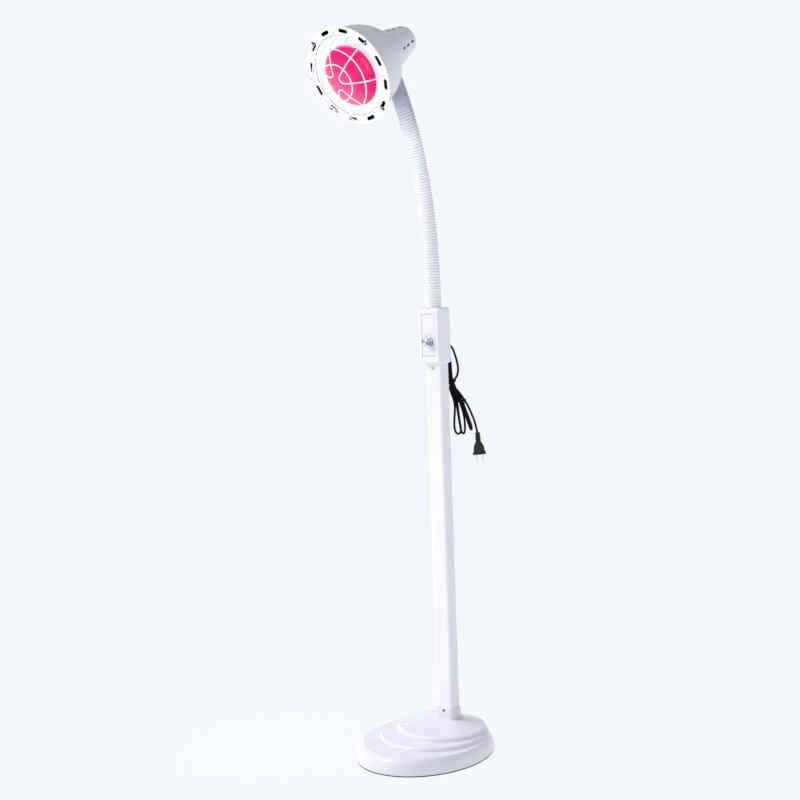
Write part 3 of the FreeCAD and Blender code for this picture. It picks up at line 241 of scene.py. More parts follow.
plug_axis = Vector((0.042, 0.05, -1)).normalized()
plug_side = Vector((0.731, 0.682, 0))
plug_side = (plug_side - plug_axis * plug_side.dot(plug_axis)).normalized()
plug_depth = plug_axis.cross(plug_side)
plug_place = Matrix((plug_side, plug_depth, plug_axis)).transposed().to_4x4()
plug_place = Matrix.Translation(mm(23.6, 97, 658.5)) @ plug_place
plug_rows = [(0, 3.2, 3.2, 2), (0.4, 4.7, 4.7, 2)]
for ring in range(SLEEVE_RINGS):
    start = SLEEVE_START + RING_STEP * ring
    wide = SLEEVE_WIDE + SLEEVE_GROWTH * ring
    narrow = wide - RING_DIP
    plug_rows += [
        (start, wide, wide, 2), (start + 2.9, wide + 0.1, wide + 0.1, 2),
        (start + 3.3, narrow, narrow, 2), (start + 4.3, narrow, narrow, 2),
    ]
plug_rows += [
    (19.6, 6.0, 5.6, 2.1), (21.5, 6.6, 5.6, 2.2), (27, 9.8, 6.4, 2.4), (32, 11.3, 6.9, 2.6),
    (36, 11.8, 7.1, 2.8), (40, 12.2, 7.2, 2.9), (42.1, 12.5, 7.3, 3), (42.5, 13.8, 7.5, 3.2),
    (43.0, 14.25, 7.7, 3.2), (46.7, 14.25, 7.7, 3.2), (47.4, 13.7, 7.2, 3.2),
    (47.5, 13.2, 6.9, 3.2),
]
plug = lofted("plug_moulding", plug_rows, plug_place)
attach(plug, "stand")
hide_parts("plug_body")
print("plug rows:", len(plug_rows))

# %% [markdown]
# ## Wire ties
#
# Two plastic-coated wire ties hold the hank. Each goes round the bundle a few times and ends in a
# twisted tail. Plain rings would be simpler, but the tail is what tells a wire tie from a band, so
# each is a curve like the cord: a flat spiral round an oval, then a fine corkscrew.

# %% Wire ties
TIE_RADIUS = 0.8
TIE_TURNS, TURN_STEPS, TURN_RISE, TIE_DROP = 3, 20, 1.5, 2
TWIST_STEPS, STEPS_PER_TWIST = 40, 8


def wire_tie(name, centre, half_side, half_back, slope, tail_to):
    """A thin wire wound round the bundle, with its twisted tail reaching tail_to."""
    points = []
    for n in range(TIE_TURNS * TURN_STEPS + 1):
        angle = 2 * math.pi * n / TURN_STEPS
        side = centre[0] + half_side * math.cos(angle)
        rise = TURN_RISE * n / TURN_STEPS - TIE_DROP + slope * half_side * math.cos(angle)
        points.append(strand(side, centre[1] + half_back * math.sin(angle), centre[2] + rise))
    start, end = points[-1], strand(*tail_to)
    along = (end - start).normalized()
    first = along.orthogonal().normalized()
    second = along.cross(first)
    for n in range(1, TWIST_STEPS + 1):
        angle = 2 * math.pi * n / STEPS_PER_TWIST
        twist = (first * math.cos(angle) + second * math.sin(angle)) * TIE_RADIUS * MM
        points.append(start.lerp(end, n / TWIST_STEPS) + twist)
    tie = round_cord(name, points, TIE_RADIUS * MM, steps=2, roundness=2)
    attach(tie, "stand")
    return tie


upper_tie = wire_tie("upper_tie", (30.5, 33.5, 770), 9, 13.5, 0.35, (19, 36, 766))
lower_tie = wire_tie("lower_tie", (47, 37.5, 729), 13, 11, 0.05, (54.5, 30, 721))
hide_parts("cord_ties")
print("ties:", upper_tie.name, lower_tie.name)

# %% [markdown]
# ## Gooseneck hose
#
# The hose is a spiral-ribbed sleeve that bends at every rib. The CAD model moves it with eight
# joints, so it is drawn as eight lengths, each around one joint, that meet where a link is stiff.
# One rib copied along a curve would do for a hose that stands still, but its copies would part at
# a joint. Here the ribs follow one formula of distance and angle, so the spiral runs on unbroken
# from length to length. The centre line is the CAD's: the lean grows with distance.

# %% Hose centre line
HOSE_LONG, HOSE_START = 462, (0, -6, 933.5)
HEAD_LEAN, LEAN_POWER = 28, 1.4
JOINT_FIRST, JOINT_STEP = 14, 62
HOSE_FOOT, HOSE_HEAD = -3.9, 478


def lean_at(distance):
    """How far the hose leans forward at a distance along it, in radians."""
    share = max(0, min(1, distance / HOSE_LONG))
    return math.radians(HEAD_LEAN) * share ** LEAN_POWER


def forward_at(distance):
    """The direction in which the hose runs there."""
    lean = lean_at(distance)
    return Vector((0, -math.sin(lean), math.cos(lean)))


hose_line = [Vector(HOSE_START)]
for step in range(HOSE_LONG):
    hose_line.append(hose_line[-1] + forward_at(step + 0.5))


def hose_at(distance):
    """Centre of the hose in millimetres at a distance along it; it runs on straight beyond."""
    whole = max(0, min(int(distance), HOSE_LONG))
    return hose_line[whole] + forward_at(whole) * (distance - whole)


print("hose ends at", [round(x, 1) for x in hose_line[-1]])

# %% Hose lengths
RIB_PITCH, RIB_HIGH, RIB_LOW, RIB_POWER = 6.0, 17.6, 15.2, 0.7
END_LOW, END_REACH, END_FADE = 16.5, 34, 6
BORE_INSIDE = 0.15
HOSE_AROUND, STEPS_PER_RIB = 64, 14


def groove_radius(distance):
    """Bottom of the grooves; they are shallower over the ferrules at both ends."""
    from_end = min(distance, HOSE_LONG - distance)
    share = max(0, min(1, (END_REACH + END_FADE - from_end) / END_FADE))
    return RIB_LOW + (END_LOW - RIB_LOW) * share


def rib_radius(distance, angle):
    """Rounded ribs with narrow grooves between them, running round in a spiral."""
    turn = (distance / RIB_PITCH + angle / (2 * math.pi)) % 1
    wave = abs(math.sin(math.pi * turn)) ** RIB_POWER
    low = groove_radius(distance)
    return low + (RIB_HIGH - low) * wave


def hose_length(name, start, end):
    """A tube with a ribbed outside and a smooth bore, from one distance to another.

    Its points carry their depth in the grooves, from 0 on a rib to 1, for the finish to use.
    """
    count = max(2, round((end - start) / RIB_PITCH * STEPS_PER_RIB))
    stations = [start + (end - start) * n / count for n in range(count + 1)]
    points, grooves = [], []
    sides = [(s, False) for s in stations] + [(end, True), (start, True)]
    for distance, bore in sides:
        centre, low = hose_at(distance), groove_radius(distance)
        ahead = Vector((1, 0, 0)).cross(forward_at(distance))
        for n in range(HOSE_AROUND):
            angle = 2 * math.pi * n / HOSE_AROUND
            radius = low - BORE_INSIDE if bore else rib_radius(distance, angle)
            edge = Vector((1, 0, 0)) * math.cos(angle) + ahead * math.sin(angle)
            points.append((centre + edge * radius) * MM)
            grooves.append(max(0, min(1, (RIB_HIGH - radius) / (RIB_HIGH - low))))
    tube = mesh_object(name, points, grid_faces(len(sides), HOSE_AROUND, closed=True))
    tube.data.attributes.new("groove", "FLOAT", "POINT").data.foreach_set("value", grooves)
    return tube


STIFF_END = 1
chain = ["stand"] + [f"neck_{n:02d}" for n in range(1, 8)] + ["head"]
last = len(chain) - 2
hose_pieces = []
for n, (below, above) in enumerate(zip(chain, chain[1:])):
    joint = JOINT_FIRST + n * JOINT_STEP
    start = HOSE_FOOT if n == 0 else joint - JOINT_STEP / 2
    end = HOSE_HEAD if n == last else joint + JOINT_STEP / 2
    reach = min(joint - start, end - joint) - STIFF_END
    piece = hose_length(f"hose_length_{n + 1}", start, end)
    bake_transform(piece)
    if n < last:
        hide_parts(f"neck_sleeve_{n + 1:02d}", f"neck_core_{n + 1:02d}")
    hose_pieces.append(piece)
print("hose lengths:", len(hose_pieces), "points each:", len(hose_pieces[2].data.vertices))

# %% [markdown]
# ## Reflector bulb
#
# The bulb is a blown glass shape: a shallow dome in front, a rounded edge, and a long taper into
# the screw cap. A screw modifier would spin its outline about the lamp's axis, but the outer part
# of the face is pressed into fine radial flutes, so the rings are made here: out there each one
# rises and falls with the angle.

# %% Bulb
RING_CENTRE = mm(0, -232.04, 1383.35)
lamp_tilt = Matrix.Rotation(math.radians(HEAD_LEAN - 90), 4, "X")
lamp_place = Matrix.Translation(RING_CENTRE) @ lamp_tilt
BULB_RADIUS, DOME, EDGE, FRONT = 64.2, 157, 8, -9
DOME_RINGS, DOME_STEP, EDGE_TURNS = 18, 3, (-55, -40, -25, -10, 5, 20)
FLUTES, FLUTE_HIGH, FLUTES_FROM, FLUTES_FADE, FLUTES_BACK = 60, 0.22, 40, 4, 12
BULB_AROUND = 240
bulb_outline = []
for n in range(1, DOME_RINGS + 1):
    out = DOME_STEP * n
    bulb_outline.append((out, FRONT + DOME - math.sqrt(DOME ** 2 - out ** 2)))
edge_out = BULB_RADIUS - EDGE
edge_back = FRONT + DOME - math.sqrt((DOME - EDGE) ** 2 - edge_out ** 2)
for angle in EDGE_TURNS:
    turn = math.radians(angle)
    bulb_outline.append((edge_out + EDGE * math.cos(turn), edge_back + EDGE * math.sin(turn)))
bulb_outline += [
    (62, 16), (58, 24), (50.5, 38), (45, 50), (40, 61), (35, 72), (30.5, 83), (26.4, 93),
    (23, 103), (20.9, 110), (19.5, 117), (18.6, 122), (17.2, 127), (15.5, 131), (13.2, 134.5),
]
points, rings = [], len(bulb_outline)
for out, back in bulb_outline:
    fluting = FLUTE_HIGH * max(0, min(1, (out - FLUTES_FROM) / FLUTES_FADE))
    if back >= FLUTES_BACK:
        fluting = 0
    for n in range(BULB_AROUND):
        angle = 2 * math.pi * n / BULB_AROUND
        lift = fluting * math.cos(FLUTES * angle)
        points.append(mm(math.cos(angle) * out, math.sin(angle) * out, back - lift))
faces = grid_faces(rings, BULB_AROUND)
points.append(mm(0, 0, FRONT))
faces += [(n, len(points) - 1, (n + 1) % BULB_AROUND) for n in range(BULB_AROUND)]
faces.append(tuple(range((rings - 1) * BULB_AROUND, rings * BULB_AROUND)))
bulb = mesh_object("red_bulb", points, faces)
bulb.matrix_world = lamp_place
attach(bulb, "head")
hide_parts("bulb_glass")
print("bulb rings:", rings)

# %% [markdown]
# ## Dimmer knob
#
# The knob is a bright plated turning: a thin skirt, a fluted grip and a dished face. The flutes
# could be cut by an array of small Booleans; it is simpler and cleaner to let the radius of the
# grip's rings dip at even angles. Each row gives a distance forward, a radius and that dip.

# %% Knob
KNOB_AROUND, KNOB_FLUTES = 144, 36
KNOB_FRONT, KNOB_HEIGHT = -24.5, 859
knob_rows = [
    (0.3, 8.0, 0), (0.3, 11.4, 0), (0.6, 11.9, 0), (3.2, 12.0, 0), (3.7, 11.6, 0), (3.9, 10.2, 0),
    (4.4, 9.9, 0.35), (10.6, 9.6, 0.35), (11.6, 9.1, 0.2), (12.2, 8.3, 0), (12.3, 7.6, 0),
    (11.9, 6.8, 0), (11.7, 4.0, 0), (11.65, 1.0, 0),
]
points = []
for forward, radius, dip in knob_rows:
    for n in range(KNOB_AROUND):
        angle = 2 * math.pi * n / KNOB_AROUND
        r = radius - dip * abs(math.cos(KNOB_FLUTES / 2 * angle))
        across_knob, up_knob = r * math.cos(angle), r * math.sin(angle)
        points.append(mm(across_knob, KNOB_FRONT - forward, KNOB_HEIGHT + up_knob))
knob = mesh_object(
    "dimmer_knob", points, grid_faces(len(knob_rows), KNOB_AROUND, capped=True)
)
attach(knob, "knob")
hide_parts("control_knob")
print("knob flutes:", KNOB_FLUTES)

# %% [markdown]
# ## Node groups for the finishes
#
# Five effects turn up on several pieces, so each is a shader node group, built once and placed in
# each material with its own numbers. The same nodes could be written out in every material, but
# then one change has to be made many times. The groups only give colours and values that change
# over the surface; the shader itself, and any number that is the same all over, stay in the
# material. Small functions stand for the nodes used most, so a sum reads as one line.

# %% Node tools
def add(tree, kind, **settings):
    """A shader node of a kind, with its settings."""
    node = tree.nodes.new("ShaderNode" + kind)
    for key, value in settings.items():
        setattr(node, key, value)
    return node


def fill(tree, node, values):
    """Give a node's first inputs these values: outputs are linked, numbers and vectors are set."""
    for socket, value in zip(node.inputs, values):
        if isinstance(value, bpy.types.NodeSocket):
            tree.links.new(value, socket)
        else:
            socket.default_value = value


def maths(tree, operation, *values, clamp=False):
    """The result of a sum with numbers."""
    node = add(tree, "Math", operation=operation, use_clamp=clamp)
    fill(tree, node, values)
    return node.outputs[0]


def vectors(tree, operation, *values):
    """The result of a sum with vectors; a dot product and a length give a number."""
    node = add(tree, "VectorMath", operation=operation)
    fill(tree, node, values)
    return node.outputs[1 if operation in ("DOT_PRODUCT", "LENGTH") else 0]


def ramped(tree, value, start, end, least=0, most=1):
    """A number that goes from least to most while value goes from start to end."""
    node = add(tree, "MapRange")
    fill(tree, node, (value, start, end, least, most))
    return node.outputs[0]


def noise(tree, where, scale, detail):
    """Cloudy noise, between 0 and 1."""
    node = add(tree, "TexNoise")
    fill(tree, node, (where, 0, scale, detail))
    return node.outputs[0]


def split(tree, vector):
    """The three parts of a vector."""
    node = add(tree, "SeparateXYZ")
    fill(tree, node, (vector,))
    return node.outputs


def mix_colour(tree, factor, first, second, blend="MIX"):
    """A mix of two colours; the factor is a number or an output."""
    node = add(tree, "Mix", data_type="RGBA", blend_type=blend)
    fill(tree, node, (factor,))
    tree.links.new(first, node.inputs[6])
    tree.links.new(second, node.inputs[7])
    return node.outputs[2]


def colour_node(tree, colour):
    """A constant colour that other nodes can mix."""
    node = add(tree, "RGB")
    node.outputs[0].default_value = (*colour, 1)
    return node.outputs[0]


def colour_ramp(tree, value, stops):
    """The colour at a value from 0 to 1, between (position, colour) stops."""
    node = add(tree, "ValToRGB")
    elements = node.color_ramp.elements
    first, *between, last = stops
    for element, (position, colour) in zip(elements, (first, last)):
        element.position, element.color = position, (*colour, 1)
    for position, colour in between:
        elements.new(position).color = (*colour, 1)
    fill(tree, node, (value,))
    return node.outputs[0]


def object_place(tree):
    """Where a point of the surface lies in its piece's own frame."""
    return add(tree, "TexCoord").outputs["Object"]


def surface_normal(tree):
    """The direction in which the surface faces, in the world's frame."""
    return add(tree, "NewGeometry").outputs["Normal"]


FLOAT, COLOUR, VECTOR = "NodeSocketFloat", "NodeSocketColor", "NodeSocketVector"
ORIGIN, UPWARDS, WHITE = (0, 0, 0), (0, 0, 1), (1, 1, 1, 1)


def new_group(name, inputs, outputs):
    """An empty shader node group, with the sockets that it is given and those it has to fill."""
    group = bpy.data.node_groups.new(name, "ShaderNodeTree")
    for label, kind, value in inputs:
        socket = group.interface.new_socket(label, in_out="INPUT", socket_type=kind)
        socket.default_value = value
    for label, kind in outputs:
        group.interface.new_socket(label, in_out="OUTPUT", socket_type=kind)
    entry = group.nodes.new("NodeGroupInput")
    leave = group.nodes.new("NodeGroupOutput")
    return group, entry.outputs, leave.inputs


# %% Group: tint drift
# A colour that drifts towards a second one in soft clouds.
CLOUD_EDGES = (0.35, 0.65)
drift, given, result = new_group(
    "tint_drift",
    [("Vector", VECTOR, ORIGIN), ("Colour", COLOUR, WHITE), ("Second", COLOUR, WHITE),
     ("Scale", FLOAT, 6)],
    [("Colour", COLOUR)],
)
clouds = ramped(drift, noise(drift, given["Vector"], given["Scale"], 3), *CLOUD_EDGES)
mixed = mix_colour(drift, clouds, given["Colour"], given["Second"])
drift.links.new(mixed, result["Colour"])

# %% Group: fine grain
# A fine height for moulded and painted surfaces, and a roughness that wears unevenly.
WEAR_SCALE = 22
grain, given, result = new_group(
    "fine_grain",
    [("Vector", VECTOR, ORIGIN), ("Scale", FLOAT, 900), ("Roughness", FLOAT, 0.3),
     ("Spread", FLOAT, 0.08)],
    [("Height", FLOAT), ("Roughness", FLOAT)],
)
wear = maths(grain, "SUBTRACT", noise(grain, given["Vector"], WEAR_SCALE, 4), 0.5)
wear = maths(grain, "MULTIPLY", wear, given["Spread"])
rough = maths(grain, "ADD", wear, given["Roughness"], clamp=True)
peel = noise(grain, given["Vector"], given["Scale"], 2)
grain.links.new(peel, result["Height"])
grain.links.new(rough, result["Roughness"])

# %% Group: brushed lines
# The same for brushed metal: the noise is pulled out into lines.
brushed, given, result = new_group(
    "brushed_lines",
    [("Vector", VECTOR, ORIGIN), ("Stretch", VECTOR, (1, 1, 40)), ("Scale", FLOAT, 60),
     ("Roughness", FLOAT, 0.3), ("Spread", FLOAT, 0.2)],
    [("Height", FLOAT), ("Roughness", FLOAT)],
)
pulled = vectors(brushed, "MULTIPLY", given["Vector"], given["Stretch"])
streak = noise(brushed, pulled, given["Scale"], 3)
rough = maths(brushed, "MULTIPLY_ADD", streak, given["Spread"], given["Roughness"])
brushed.links.new(streak, result["Height"])
brushed.links.new(rough, result["Roughness"])

# %% Group: settled dust
# Dust lies where the surface faces up, in fine patches.
DUST_SCALE, FACING_UP = 70, (0.5, 1)
dust, given, result = new_group(
    "settled_dust",
    [("Vector", VECTOR, ORIGIN), ("Normal", VECTOR, UPWARDS), ("Colour", COLOUR, WHITE),
     ("Dust", COLOUR, (0.7, 0.68, 0.66, 1)), ("Amount", FLOAT, 0.15)],
    [("Colour", COLOUR)],
)
upward = ramped(dust, split(dust, given["Normal"])[2], *FACING_UP)
patch = maths(dust, "MULTIPLY", upward, noise(dust, given["Vector"], DUST_SCALE, 5))
laid = maths(dust, "MULTIPLY", patch, given["Amount"], clamp=True)
dust.links.new(mix_colour(dust, laid, given["Colour"], given["Dust"]), result["Colour"])

# %% Group: side of the lamp axis
# Tells how far a point lies behind the ring along the lamp's axis, and whether the surface there
# faces the axis (1) or faces away from it (0). The limits are outward reaches in metres.
SIDE_LIMITS = (-0.001, -0.003)
axis_side, given, result = new_group(
    "axis_side", [("Vector", VECTOR, ORIGIN), ("Normal", VECTOR, UPWARDS)],
    [("Inwards", FLOAT), ("Station", FLOAT)],
)
lamp_axis = lamp_place.to_3x3() @ Vector((0, 0, 1))
from_ring = vectors(axis_side, "SUBTRACT", given["Vector"], lamp_place.translation)
onto_axis = vectors(axis_side, "PROJECT", from_ring, lamp_axis)
outwards = vectors(axis_side, "SUBTRACT", from_ring, onto_axis)
facing = vectors(axis_side, "DOT_PRODUCT", outwards, given["Normal"])
axis_side.links.new(ramped(axis_side, facing, *SIDE_LIMITS), result["Inwards"])
station = vectors(axis_side, "DOT_PRODUCT", from_ring, lamp_axis)
axis_side.links.new(station, result["Station"])
print("groups:", [g.name for g in (drift, grain, brushed, dust, axis_side)])

# %% [markdown]
# ## Finishes
#
# Each finish is one Principled shader fed by the groups. Every material could be wired up by
# itself, but painted and moulded pieces differ only in colour, gloss and grain, so they share a
# recipe. Bare metal takes brushed lines there instead of grain.

# %% Finish recipe
BUMP_DEEP = 0.0002


def use_group(tree, group, **values):
    """Place a group in a material and set its inputs by name."""
    node = add(tree, "Group", node_tree=group)
    for key, value in values.items():
        node.inputs[key].default_value = value
    return node


def finish(name, colour, second, roughness, metallic=0, coat=0, grain_size=900, bump=0.02,
           dusty=0.0, stretch=None, spread=0.08, drift_size=6, **shader_values):
    """A procedural material: drifting tint, fine grain or brushed lines, and settled dust."""
    material = bpy.data.materials.new(name)
    material.use_nodes = True
    tree = material.node_tree
    shader = tree.nodes["Principled BSDF"]
    shader.inputs["Metallic"].default_value = metallic
    shader.inputs["Coat Weight"].default_value = coat
    for label, value in shader_values.items():
        shader.inputs[label.replace("_", " ")].default_value = value
    where = object_place(tree)
    tint = use_group(tree, drift, Colour=(*colour, 1), Second=(*second, 1), Scale=drift_size)
    tree.links.new(where, tint.inputs["Vector"])
    shade = tint.outputs["Colour"]
    if dusty:
        cover = use_group(tree, dust, Amount=dusty)
        tree.links.new(where, cover.inputs["Vector"])
        tree.links.new(surface_normal(tree), cover.inputs["Normal"])
        tree.links.new(shade, cover.inputs["Colour"])
        shade = cover.outputs["Colour"]
    tree.links.new(shade, shader.inputs["Base Color"])
    texture = use_group(
        tree, brushed if stretch else grain, Scale=grain_size, Roughness=roughness, Spread=spread
    )
    if stretch:
        texture.inputs["Stretch"].default_value = stretch
    tree.links.new(where, texture.inputs["Vector"])
    tree.links.new(texture.outputs["Roughness"], shader.inputs["Roughness"])
    relief = add(tree, "Bump")
    fill(tree, relief, (bump, BUMP_DEEP))
    tree.links.new(texture.outputs["Height"], relief.inputs["Height"])
    tree.links.new(relief.outputs["Normal"], shader.inputs["Normal"])
    return material


def base_colour(tree):
    """What feeds the shader's base colour now, and the socket that takes it."""
    socket = tree.nodes["Principled BSDF"].inputs["Base Color"]
    return socket.links[0].from_socket, socket


def dress(material, *pieces):
    """Give a material to CAD nodes, by name, or to new pieces."""
    for piece in pieces:
        target = NODES[piece] if isinstance(piece, str) else piece
        target.data.materials.clear()
        target.data.materials.append(material)


# %% White finishes
gloss_white = finish(
    "gloss_white", (0.80, 0.785, 0.88), (0.84, 0.825, 0.91), 0.26, coat=0.5, grain_size=260,
    bump=0.05, dusty=0.12, Coat_Roughness=0.06, Specular_IOR_Level=0.25,
)
satin_white = finish(
    "satin_white", (0.86, 0.85, 0.92), (0.89, 0.88, 0.94), 0.38, coat=0.2, grain_size=1400,
    bump=0.12, Coat_Roughness=0.25,
)
box_white = finish(
    "box_white", (0.87, 0.86, 0.91), (0.90, 0.89, 0.93), 0.34, grain_size=1800, bump=0.15,
    dusty=0.08,
)
hose_white = finish(
    "hose_white", (0.90, 0.89, 0.95), (0.93, 0.92, 0.97), 0.36, coat=0.15, grain_size=700,
    bump=0.05, dusty=0.1, Coat_Roughness=0.2,
)
ring_white = finish(
    "ring_white", (0.88, 0.88, 0.89), (0.91, 0.91, 0.92), 0.3, coat=0.3, grain_size=1200,
    bump=0.08, Coat_Roughness=0.15,
)
wire_white = finish(
    "wire_white", (0.86, 0.86, 0.88), (0.90, 0.90, 0.91), 0.25, coat=0.4, bump=0.08,
    Coat_Roughness=0.1,
)
# The bell and housing are a darker grey than the other whites; the extra darkness is painted
# shade.
bell_paint_and_shade = finish(
    "bell_paint_and_shade", (0.73, 0.73, 0.80), (0.77, 0.77, 0.83), 0.36, coat=0.35, grain_size=1600,
    bump=0.1, dusty=0.12, Coat_Roughness=0.2,
)
ceramic = finish(
    "ceramic", (0.80, 0.78, 0.73), (0.85, 0.83, 0.79), 0.2, coat=0.5, grain_size=300, bump=0.05
)
dress(gloss_white, "base_cover", "base_collar")
dress(satin_white, "column_tube", "neck_lower_ferrule", "neck_upper_ferrule")
dress(box_white, "box_rear_shell", "box_front_cover")
dress(hose_white, *hose_pieces)
dress(ring_white, "front_ring")
dress(wire_white, "guard_petals", "guard_rings")
dress(bell_paint_and_shade, "shade_bell", "rear_housing")
dress(ceramic, "lamp_holder")

# %% Painted shadow and painted groove shade on the hose
# Next to the head the hose is painted darker over the last stretch, as the bell's shadow, and the
# grooves between its ribs are painted darker, as shade. Heights are in metres, depths are shares.
SHADOW_TINT, SHADOW_HEIGHTS, SHADOW_MOST = (0.30, 0.30, 0.40), (1.27, 1.36), 0.85
GROOVE_SHADE_TINT, GROOVE_SHADE_DEPTHS, GROOVE_SHADE_MOST = (0.30, 0.30, 0.36), (0.35, 0.9), 0.22
tree = hose_white.node_tree
clean, socket = base_colour(tree)
height = split(tree, object_place(tree))[2]
near_head = ramped(tree, height, *SHADOW_HEIGHTS, 0, SHADOW_MOST)
shaded = mix_colour(tree, near_head, clean, colour_node(tree, SHADOW_TINT))
# Painted shade: the deeper a point lies in a groove, the darker it is painted.
depth = add(tree, "Attribute", attribute_name="groove").outputs["Fac"]
groove_shade = ramped(tree, depth, *GROOVE_SHADE_DEPTHS, 0, GROOVE_SHADE_MOST)
tree.links.new(mix_colour(tree, groove_shade, shaded, colour_node(tree, GROOVE_SHADE_TINT)), socket)

# %% Metals
steel = finish(
    "steel", (0.56, 0.56, 0.58), (0.64, 0.64, 0.66), 0.3, metallic=1, grain_size=90,
    stretch=(1, 1, 30), spread=0.15, bump=0.1,
)
chrome = finish(
    "chrome", (0.80, 0.80, 0.83), (0.88, 0.88, 0.90), 0.07, metallic=1, grain_size=160,
    stretch=(1, 20, 1), bump=0.03,
)
satin_silver = finish(
    "satin_silver", (0.93, 0.95, 0.97), (0.96, 0.97, 0.98), 0.34, metallic=0.15, grain_size=70,
    spread=0.1, bump=0.12,
)
brass = finish(
    "brass", (0.72, 0.62, 0.38), (0.80, 0.72, 0.50), 0.28, metallic=1, grain_size=90,
    stretch=(1, 1, 25), spread=0.15, bump=0.08,
)
blackened = finish(
    "blackened", (0.03, 0.03, 0.035), (0.06, 0.06, 0.07), 0.35, metallic=0.6, grain_size=800,
    bump=0.1,
)
cast_iron = finish(
    "cast_iron", (0.10, 0.10, 0.105), (0.16, 0.155, 0.15), 0.7, metallic=0.5, grain_size=350,
    bump=0.6,
)
dress(steel, "column_socket", "column_spigot", "socket_screws", "cover_screws", "box_screws")
dress(steel, "holder_screws", "dimmer_shaft", "dimmer_nut", "neck_lower_nut", "holder_bracket")
dress(steel, "plug_blades", "column_screw")
dress(chrome, knob)
dress(satin_silver, "reflector")
dress(brass, "holder_shell", "bulb_cap")
dress(blackened, "collar_screw", "ring_screws")
dress(cast_iron, "ballast_plate")

# %% Two-sided head pieces
# The bell and housing are painted on the outside, and the reflector is bright on the inside; the
# other side of each is painted near black as shade, so the slots in the ring and the vents look
# black.
# Near black: painted shade for the hidden sides of the head pieces.
SHADE_SIDE = (0.012, 0.012, 0.014)


def side_of_axis(tree):
    """Place the axis group with its two inputs linked."""
    node = use_group(tree, axis_side)
    tree.links.new(object_place(tree), node.inputs["Vector"])
    tree.links.new(surface_normal(tree), node.inputs["Normal"])
    return node.outputs


tree = bell_paint_and_shade.node_tree
painted, socket = base_colour(tree)
# The inside of the bell and housing is painted near black as shade.
shaded_side = colour_node(tree, SHADE_SIDE)
tree.links.new(mix_colour(tree, side_of_axis(tree)["Inwards"], painted, shaded_side), socket)

# %% Reflector
# The bright side carries bands of painted blue reflection, given here as shares of its depth; they
# show high up and low on the right. Each arc has a direction and the two reaches along it, in
# metres, between which it fades in. A little emission is painted light on the bright side.
REFLECTOR_DEEP, REFLECTOR_GLOW, ARC_REFLECTION_TINT = 0.1, 0.40, (0.22, 0.50, 0.60)
REFLECTION_BANDS = (
    (0, 0), (0.10, 0), (0.15, 0.6), (0.20, 0), (0.30, 0.1), (0.38, 0.8), (0.45, 0), (0.58, 0),
    (0.66, 0.8), (0.75, 0), (1, 0),
)
ARCS = (((0.2, 0, 1), 1.405, 1.43), ((0.75, 0, -0.66), -0.885, -0.87))
tree = satin_silver.node_tree
silvery, socket = base_colour(tree)
side = side_of_axis(tree)
share = maths(tree, "DIVIDE", side["Station"], REFLECTOR_DEEP, clamp=True)
# The bands and arcs say where the painted blue reflection shows.
bands = colour_ramp(tree, share, [(position, [level] * 3) for position, level in REFLECTION_BANDS])
arcs = []
for towards, least, most in ARCS:
    reach = vectors(tree, "DOT_PRODUCT", object_place(tree), towards)
    arcs.append(ramped(tree, reach, least, most))
shown = maths(tree, "MULTIPLY", bands, maths(tree, "ADD", *arcs, clamp=True))
banded = mix_colour(tree, shown, silvery, colour_node(tree, ARC_REFLECTION_TINT))
# The back of the reflector is painted near black as shade.
both = mix_colour(tree, side["Inwards"], colour_node(tree, SHADE_SIDE), banded)
tree.links.new(both, socket)
# The emission is painted light that brightens the reflector.
shader = tree.nodes["Principled BSDF"]
tree.links.new(both, shader.inputs["Emission Color"])
shader.inputs["Emission Strength"].default_value = REFLECTOR_GLOW

# %% Rubber, film and small parts
rubber = finish(
    "mat_rubber", (0.02, 0.02, 0.022), (0.035, 0.035, 0.04), 0.75, grain_size=500, bump=0.4
)
cord_black = finish(
    "cord_black", (0.003, 0.003, 0.004), (0.006, 0.006, 0.008), 0.6, grain_size=1200, bump=0.1,
    Specular_IOR_Level=0.1,
)
plug_black = finish(
    "plug_black", (0.012, 0.012, 0.018), (0.02, 0.02, 0.03), 0.4, grain_size=1500, bump=0.3,
    Specular_IOR_Level=0.35,
)
panel_film = finish(
    "panel_film", (0.80, 0.79, 0.93), (0.86, 0.85, 0.95), 0.3, grain_size=2200, bump=0.12,
    drift_size=18,
)
moulded_black = finish(
    "moulded_black", (0.03, 0.03, 0.035), (0.05, 0.05, 0.055), 0.45, bump=0.2
)
board_green = finish(
    "board_green", (0.02, 0.16, 0.06), (0.03, 0.22, 0.09), 0.35, grain_size=400, bump=0.1
)
case_grey = finish(
    "case_grey", (0.12, 0.12, 0.13), (0.2, 0.2, 0.22), 0.45, grain_size=700, bump=0.15
)
dress(rubber, "base_mat")
dress(cord_black, cord, upper_tie, lower_tie, "cord_relief")
dress(plug_black, plug)
dress(panel_film, "panel_plate")
dress(moulded_black, "dimmer_body", "terminal_block")
dress(board_green, "circuit_board")
dress(case_grey, "board_parts", "bulb_filament")

# %% [markdown]
# ## Painted shade on the panel and painted reflection on the knob
#
# Two small pieces carry a painted mark that their neighbours don't. The film is painted darker in
# a thin band just inside its edge, as shade from its recess, and the spun face of the knob carries
# a painted reflection of the room in two dark fans, as its grip does in dark patches at the sides.
# Both could be thin pieces of their own, but they have no thickness, so they are masks worked out
# from where a point lies on its piece.

